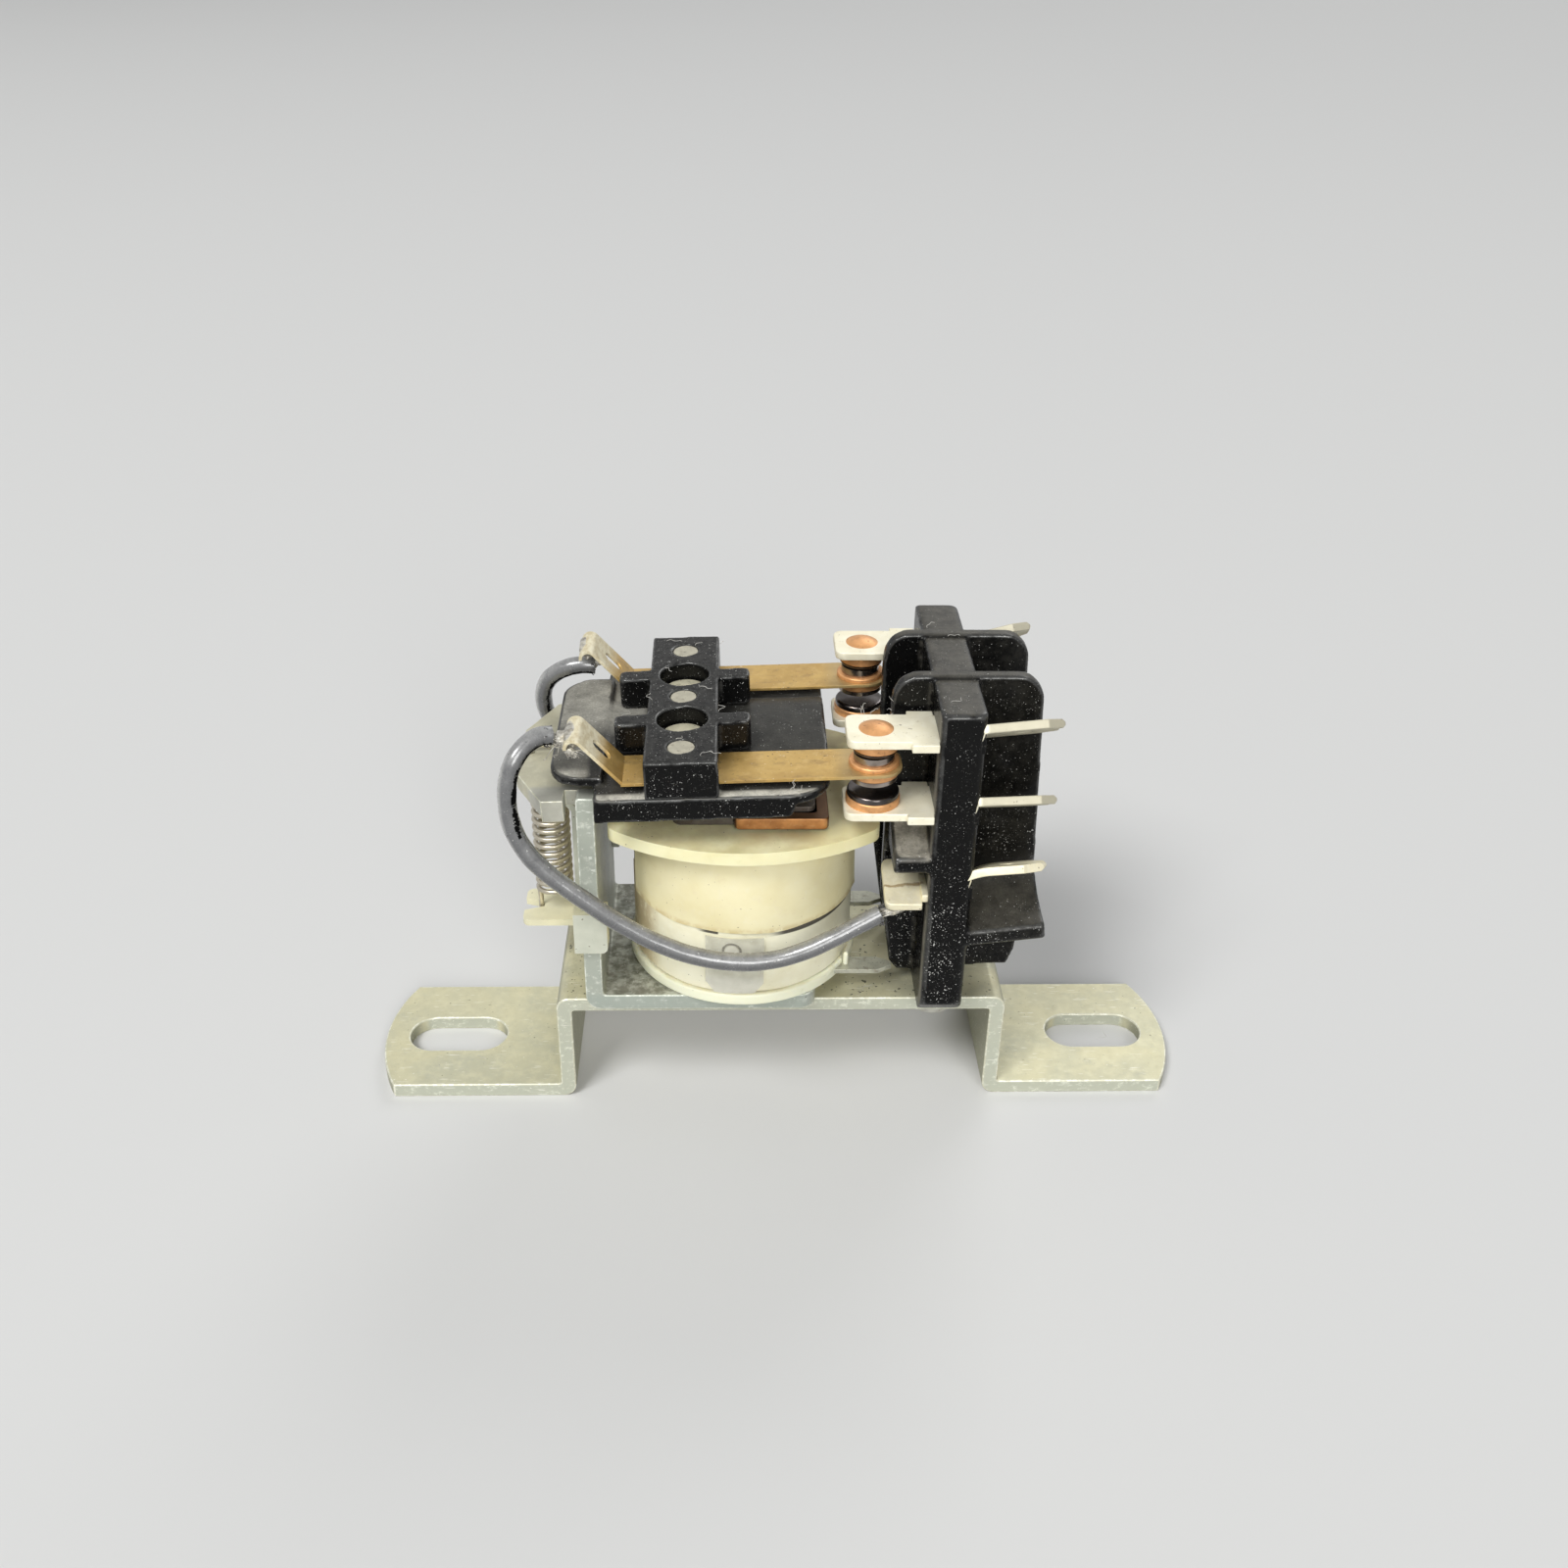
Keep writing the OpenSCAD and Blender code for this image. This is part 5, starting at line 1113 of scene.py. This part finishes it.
def make_slot_fill(material):
    """The moulding that closes round each tab where it leaves the block."""
    fill = flat_plate(oblong(BLOCK_X1 - 1.6, BLOCK_X1 - 0.07, BODY_W / 2 + 0.35), TAB_T + 0.7)
    parts = [
        moved(fill, Matrix.Translation((0, side * POLE_Y, z + TAB_T / 2)))
        for side in (-1, 1)
        for z in (NC_Z, NO_Z, COM_Z)
    ]
    round_off(new_piece("slot_fill", parts, material), 0.12)


# ---------------------------------------------------------------- soldered strands, cut sleeves and lint
def strand(points, radius, rand, waver, steps=5, sides=6):
    """A thin strand through points. It wanders a little, more in the middle than at its ends."""
    path = smooth_route(points, steps)
    phases = three_phases(rand)
    for i, p in enumerate(path):
        t = i / (len(path) - 1)
        offset = Vector([math.sin(7 * t + phase) + 0.5 * math.sin(17 * t + 2 * phase) for phase in phases])
        path[i] = p + waver * math.sin(math.pi * t) * offset
    return sweep(path, radius, sides, side=(0.3, 0.9, 0.2))


def around(rand, point, spread):
    """A point near another one, off by up to spread along each axis."""
    return Vector([c + rand.uniform(-w, w) for c, w in zip(point, spread)])


def fan(rand, count, route, radius, waver, turn=opened):
    """Strands along a route of places. Each place comes with its spread. turn puts a point where its body is."""
    return [
        strand([turn(around(rand, place, spread)) for place, spread in route], radius, rand, waver)
        for _ in range(count)
    ]


def fuzz_ring(rand, count, root, out, reach, radius, waver):
    """Threads at the cut end of a sleeve. root and out give a thread's start, and its way in Y and Z, by angle."""
    parts = []
    for _ in range(count):
        a = rand.uniform(0, RANDOM_TURN)
        start = root(math.cos(a), math.sin(a))
        way = Vector((rand.uniform(*reach), *out(math.cos(a), math.sin(a))))
        parts.append(strand([start, start + way * rand.uniform(0.4, 1.0)], radius, rand, waver, steps=3, sides=5))
    return parts


def blob(centre, radii, seed, rough):
    """A lumpy drop of solder."""
    rings, sides = 14, 20
    p = three_phases(random.Random(seed))
    vertices = []
    for i in range(rings + 1):
        v = math.pi * i / rings
        for k in range(sides):
            a = math.tau * k / sides
            wave = math.sin(3 * a + p[0]) * math.sin(2 * v + p[1]) + 0.6 * math.sin(5 * a + 3 * v + p[2])
            lump = 1 + rough * wave * math.sin(v)
            d = Vector((math.sin(v) * math.cos(a), math.sin(v) * math.sin(a), math.cos(v)))
            vertices.append(Vector(centre) + lump * Vector([d[n] * radii[n] for n in range(3)]))
    inward = tube_faces(rings, sides, capped=False)
    return vertices, [(face[0], *reversed(face[1:])) for face in inward]


def make_splices(metal, soft):
    """Where the pigtails' bare strands are soldered: round the blades' curls, and under the common lugs."""
    rand = random.Random(41)

    # the front pigtail's strands fan out in front of the curl and under it, and four stray from it
    route = [
        ((-20.35, -8.75, 41.95), (0.1, 0.5, 0.5)),
        ((-19.35, -9.9, 41.75), (0.25, 0.55, 0.3)),
        ((-18.4, -10.9, 41.2), (0.6, 0.2, 0.3)),
    ]
    parts = fan(rand, 26, route, 0.045, 0.15)
    start = opened((-19.6, -9.9, 41.9))
    for end in ((-20.9, -10.9, 40.9), (-19.9, -11.5, 41.4), (-17.3, -11.5, 41.9), (-19.3, -11.3, 42.5)):
        parts.append(strand([start, opened(around(rand, end, (0.1, 0.1, 0.1)))], 0.035, rand, 0.2))
    parts += [
        blob(opened((-19.35, -9.3, 41.85)), (0.55, 0.65, 0.42), 3, 0.2),
        blob(opened((-18.6, -10.6, 41.5)), (0.4, 0.3, 0.34), 5, 0.25),
        blob(opened((-18.62, -8.75, 42.28)), (0.62, 2.1, 0.5), 8, 0.05),
        blob(opened((-19.35, -8.7, 41.95)), (0.75, 0.8, 0.5), 11, 0.12),
        blob(opened((-18.34, -8.65, 41.86)), (0.5, 1.9, 0.5), 9, 0.05),
    ]
    new_piece("front_splice", parts, metal, body=ARMATURE, replaces=("blade_solder",))

    route = [((-18.1, 9.45, 39.85), (0.1, 0.4, 0.4)), ((-17.2, 9.1, 40.7), (0.3, 0.8, 0.2))]
    parts = fan(rand, 14, route, 0.08, 0.08) + [
        blob(opened((-17.35, 9.1, 40.55)), (0.5, 1.1, 0.45), 12, 0.2),
        blob(opened((-18.34, 8.65, 41.86)), (0.52, 1.95, 0.52), 13, 0.08),
        blob(opened((-18.75, 8.65, 42.2)), (0.55, 1.9, 0.5), 14, 0.1),
    ]
    new_piece("rear_splice", parts, metal, body=ARMATURE, replaces=("blade_solder",))

    for side, name in ((-1, "front"), (1, "rear")):
        route = [((8.75, side * 11.05, 24.57), (0.05, 0.4, 0.4)), ((10.5, side * 10.7, 24.86), (0.4, 0.25, 0.12))]
        parts = fan(rand, 14, route, 0.07, 0.07, turn=Vector) + [
            blob((10.35, side * 10.72, 24.86), (0.62, 0.5, 0.34), 21, 0.2),
            blob((9.6, side * 10.9, 24.72), (0.7, 0.42, 0.36), 22, 0.22),
        ]
        new_piece(name + "_lug_splice", parts, metal, replaces=("terminal_solder",))
        parts = fuzz_ring(
            rand, 40, lambda c, s: Vector((8.62, side * (11.08 + 0.72 * c), 24.53 + 0.72 * s)),
            lambda c, s: (side * 0.35 * c, 0.35 * s), (0.2, 0.75), 0.045, 0.08,
        )
        new_piece(name + "_lug_fuzz", parts, soft)

    for name, centre, tilt in (("front", (-20.72, -8.7, 42.0), 0.35), ("rear", (-18.32, 9.5, 39.76), 0.0)):
        parts = fuzz_ring(
            rand, 14, lambda c, s: opened(Vector(centre) + Vector((tilt * (0.8 * c), 0.8 * c, 0.8 * s))),
            lambda c, s: (0.25 * c - 0.1, 0.25 * s), (0.15, 0.5), 0.05, 0.07,
        )
        new_piece(name + "_blade_fuzz", parts, soft, body=ARMATURE)


def make_lint(material):
    """Lint that has settled on the part: fine curled hairs, each lying on a surface."""
    rand = random.Random(77)

    def hair(start, heading, length, lift):
        """From start along heading, curling, lifted by up to lift in the middle."""
        heading = Vector(heading).normalized()
        side = Vector((-heading.y, heading.x, 0.0))
        side = side.normalized() if side.length > 0.1 else Vector((1.0, 0.0, 0.0))
        bend = rand.uniform(-0.5, 0.5)
        points = []
        for k in range(6):
            t = k / 5
            swing = bend * math.sin(math.pi * t) + 0.12 * math.sin(9 * t + bend)
            rise = Vector((0, 0, lift * math.sin(math.pi * t)))
            points.append(start + heading * length * t + side * length * swing + rise)
        return sweep(smooth_route(points, 4), 0.02, 5, side=(0.1, 0.2, 0.97))

    top = CLAMP_TOP + 0.02
    moving = [
        ((-6.4, 1.2, top), (-1.0, 0.6, 0), 1.5, 0.12),
        ((-12.2, 0.6, top), (0.1, -1.0, 0), 1.4, 0.1),
        ((-6.6, -10.6, top), (1.0, -0.5, 0), 1.1, 0.15),
        ((-7.4, -11.4, top), (1.0, 0.3, 0), 1.3, 0.1),
        ((-5.9, -3.4, top), (0.1, 1.0, 0), 1.2, 0.15),
        ((-8.2, 10.4, top), (0.8, 0.5, 0), 0.9, 0.2),
        ((-11.0, 11.6, top), (1.0, -0.2, 0), 1.6, 0.1),
        ((-10.3, 4.9, top), (-0.6, 0.8, 0), 1.0, 0.12),
        ((-9.6, -8.3, top), (0.8, 0.7, 0), 0.8, 0.1),
        ((-6.0, 11.5, top - 0.7), (0.7, 0.1, 0.6), 0.8, 0.0),
        ((0.4, -11.9, 37.46), (0.3, 0.8, 0.5), 1.2, 0.1),
        ((0.9, -11.6, 37.46), (-0.2, 0.3, 1.0), 1.0, 0.05),
        ((0.6, -11.7, 37.46), (0.8, 0.3, 0.4), 0.9, 0.1),
        ((-19.4, -6.0, 38.22), (0.9, 0.3, 0), 1.4, 0.1),
        ((-15.2, 2.0, 38.05), (0.6, 0.8, 0), 1.3, 0.1),
    ]
    fixed = [
        ((6.6, -6.2, 42.8), (0.3, 0.1, 1.0), 1.1, 0.0),
        ((6.9, -6.2, 42.8), (-0.4, 0.1, 0.9), 0.9, 0.0),
        ((7.4, -6.15, 42.8), (0.8, 0.2, 0.5), 0.8, 0.0),
        ((8.7, -6.3, 42.8), (0.9, 0.1, 0.1), 0.7, 0.1),
        ((9.5, -4.9, 43.4), (-0.5, -0.2, 0.7), 0.8, 0.0),
        ((9.6, -4.95, 42.4), (-0.7, -0.1, 0.3), 0.7, 0.0),
        ((13.6, 5.9, 45.53), (0.5, 0.4, 0.2), 1.0, 0.1),
        ((15.2, 3.4, 45.9), (0.9, 0.1, 0.0), 1.2, 0.1),
        ((14.0, -9.0, 45.53), (0.7, 0.5, 0.0), 1.3, 0.1),
        ((22.5, -11.2, 22.9), (0.6, 0.4, 0.0), 1.3, 0.1),
        ((-14.5, -5.5, 12.33), (0.8, -0.6, 0.0), 1.2, 0.1),
        ((33.5, -1.5, 1.52), (0.6, 0.7, 0.0), 1.6, 0.1),
        ((-31.0, -3.6, 1.52), (0.5, -0.3, 0.0), 1.1, 0.1),
        ((8.0, -6.4, 12.33), (1.0, 0.4, 0.0), 1.1, 0.1),
    ]
    new_piece("lint_moving", [hair(opened(start), *rest) for start, *rest in moving], material, body=ARMATURE)
    new_piece("lint_fixed", [hair(Vector(start), *rest) for start, *rest in fixed], material)


# ---------------------------------------------------------------- building
bpy.context.scene.view_settings.view_transform = "Standard"
make_camera()
make_floor()
make_sky()
make_lamps()

grey_sleeve = sleeve()
torn = sleeve_tear()
make_pigtail("front_lead", FRONT_ROUTE, "front_pigtail", grey_sleeve, torn)
make_pigtail("rear_lead", REAR_ROUTE, "rear_pigtail", grey_sleeve, torn)
make_spring(spring_wire())

make_labels()
make_splices(strand_metal(), fuzz())
make_lint(lint())

plate_rim = rubbed_edge("plate_rim", (0.62, 0.61, 0.47), (0.86, 0.86, 0.74), 0.6, metallic=0.3)
frame_rim = rubbed_edge("frame_rim", (0.50, 0.53, 0.45), (0.84, 0.86, 0.78), 0.55, metallic=0.3)
dress("mounting_bracket", bracket_plate(), edge=0.16, segments=3, worn=plate_rim)
dress("magnet_frame", frame_steel(), edge=0.14, segments=3, worn=frame_rim)
dress("core", pole_steel(), edge=0.08)
dress("shading_ring", ring_copper(), edge=0.15)
old_nylon = nylon()
dress("bobbin", old_nylon, edge=0.2, segments=3)
dress("coil_leads", old_nylon, edge=0)
dress("coil_winding", winding_tape(), edge=0.05)
dress("coil_terminals", screw_plate("pin_tin", (0.50, 0.50, 0.40)), edge=0.06)
soften("terminal_block", block_moulding(), 0.2, 9)
make_slot_fill(rubbed_edge("slot_black", (0.004, 0.004, 0.004), (0.10, 0.095, 0.085), 0.3, specular=0.12))
dress("block_screws", screw_plate("screw_zinc", (0.55, 0.54, 0.48)), edge=0.08)
tin, lug = tinned(), soldered_lug()
for name, side, z, rise in (
    ("front_nc", -1, NC_Z, 6), ("rear_nc", 1, NC_Z, 16), ("front_no", -1, NO_Z, 2.5), ("rear_no", 1, NO_Z, 2.5),
):
    make_terminal(name, side, z, rise, tin)
for name, side in (("front_com", -1), ("rear_com", 1)):
    make_terminal(name, side, COM_Z, 29, lug, bend=20, contact=False)
red_copper = contact_copper()
silver = contact_silver("contact_silver", (0.14, 0.125, 0.12), (0.06, 0.052, 0.048))
worn_silver = contact_silver("worn_silver", (0.42, 0.37, 0.33), (0.24, 0.20, 0.17))
for name, face in (("nc", silver), ("no", silver), ("moving", worn_silver)):
    dress(f"{name}_contacts", red_copper, edge=0)
    dress(f"{name}_contact_faces", face, edge=0)
dress("spring_bracket", spring_clip(), edge=0.12, worn=plate_rim)
dress("armature", tail_plate(), edge=0.14, segments=3, worn=plate_rim)
soften("armature_carrier", carrier_moulding(), 0.18, 6)
soften("blade_clamp", clamp_moulding(), 0.16, 5)
dress("clamp_rivets", screw_plate("rivet_tin", (0.52, 0.49, 0.38)), edge=0.08)
# the armature rivets: cream plating, painted paler as painted light for the shade of the deep holes they sit in
dress("armature_rivets", screw_plate("rivet_plate", (0.84, 0.79, 0.58)), edge=0)
brass = blade_brass()
dress("front_blade", brass, edge=0.06)
dress("rear_blade", brass, edge=0.06)
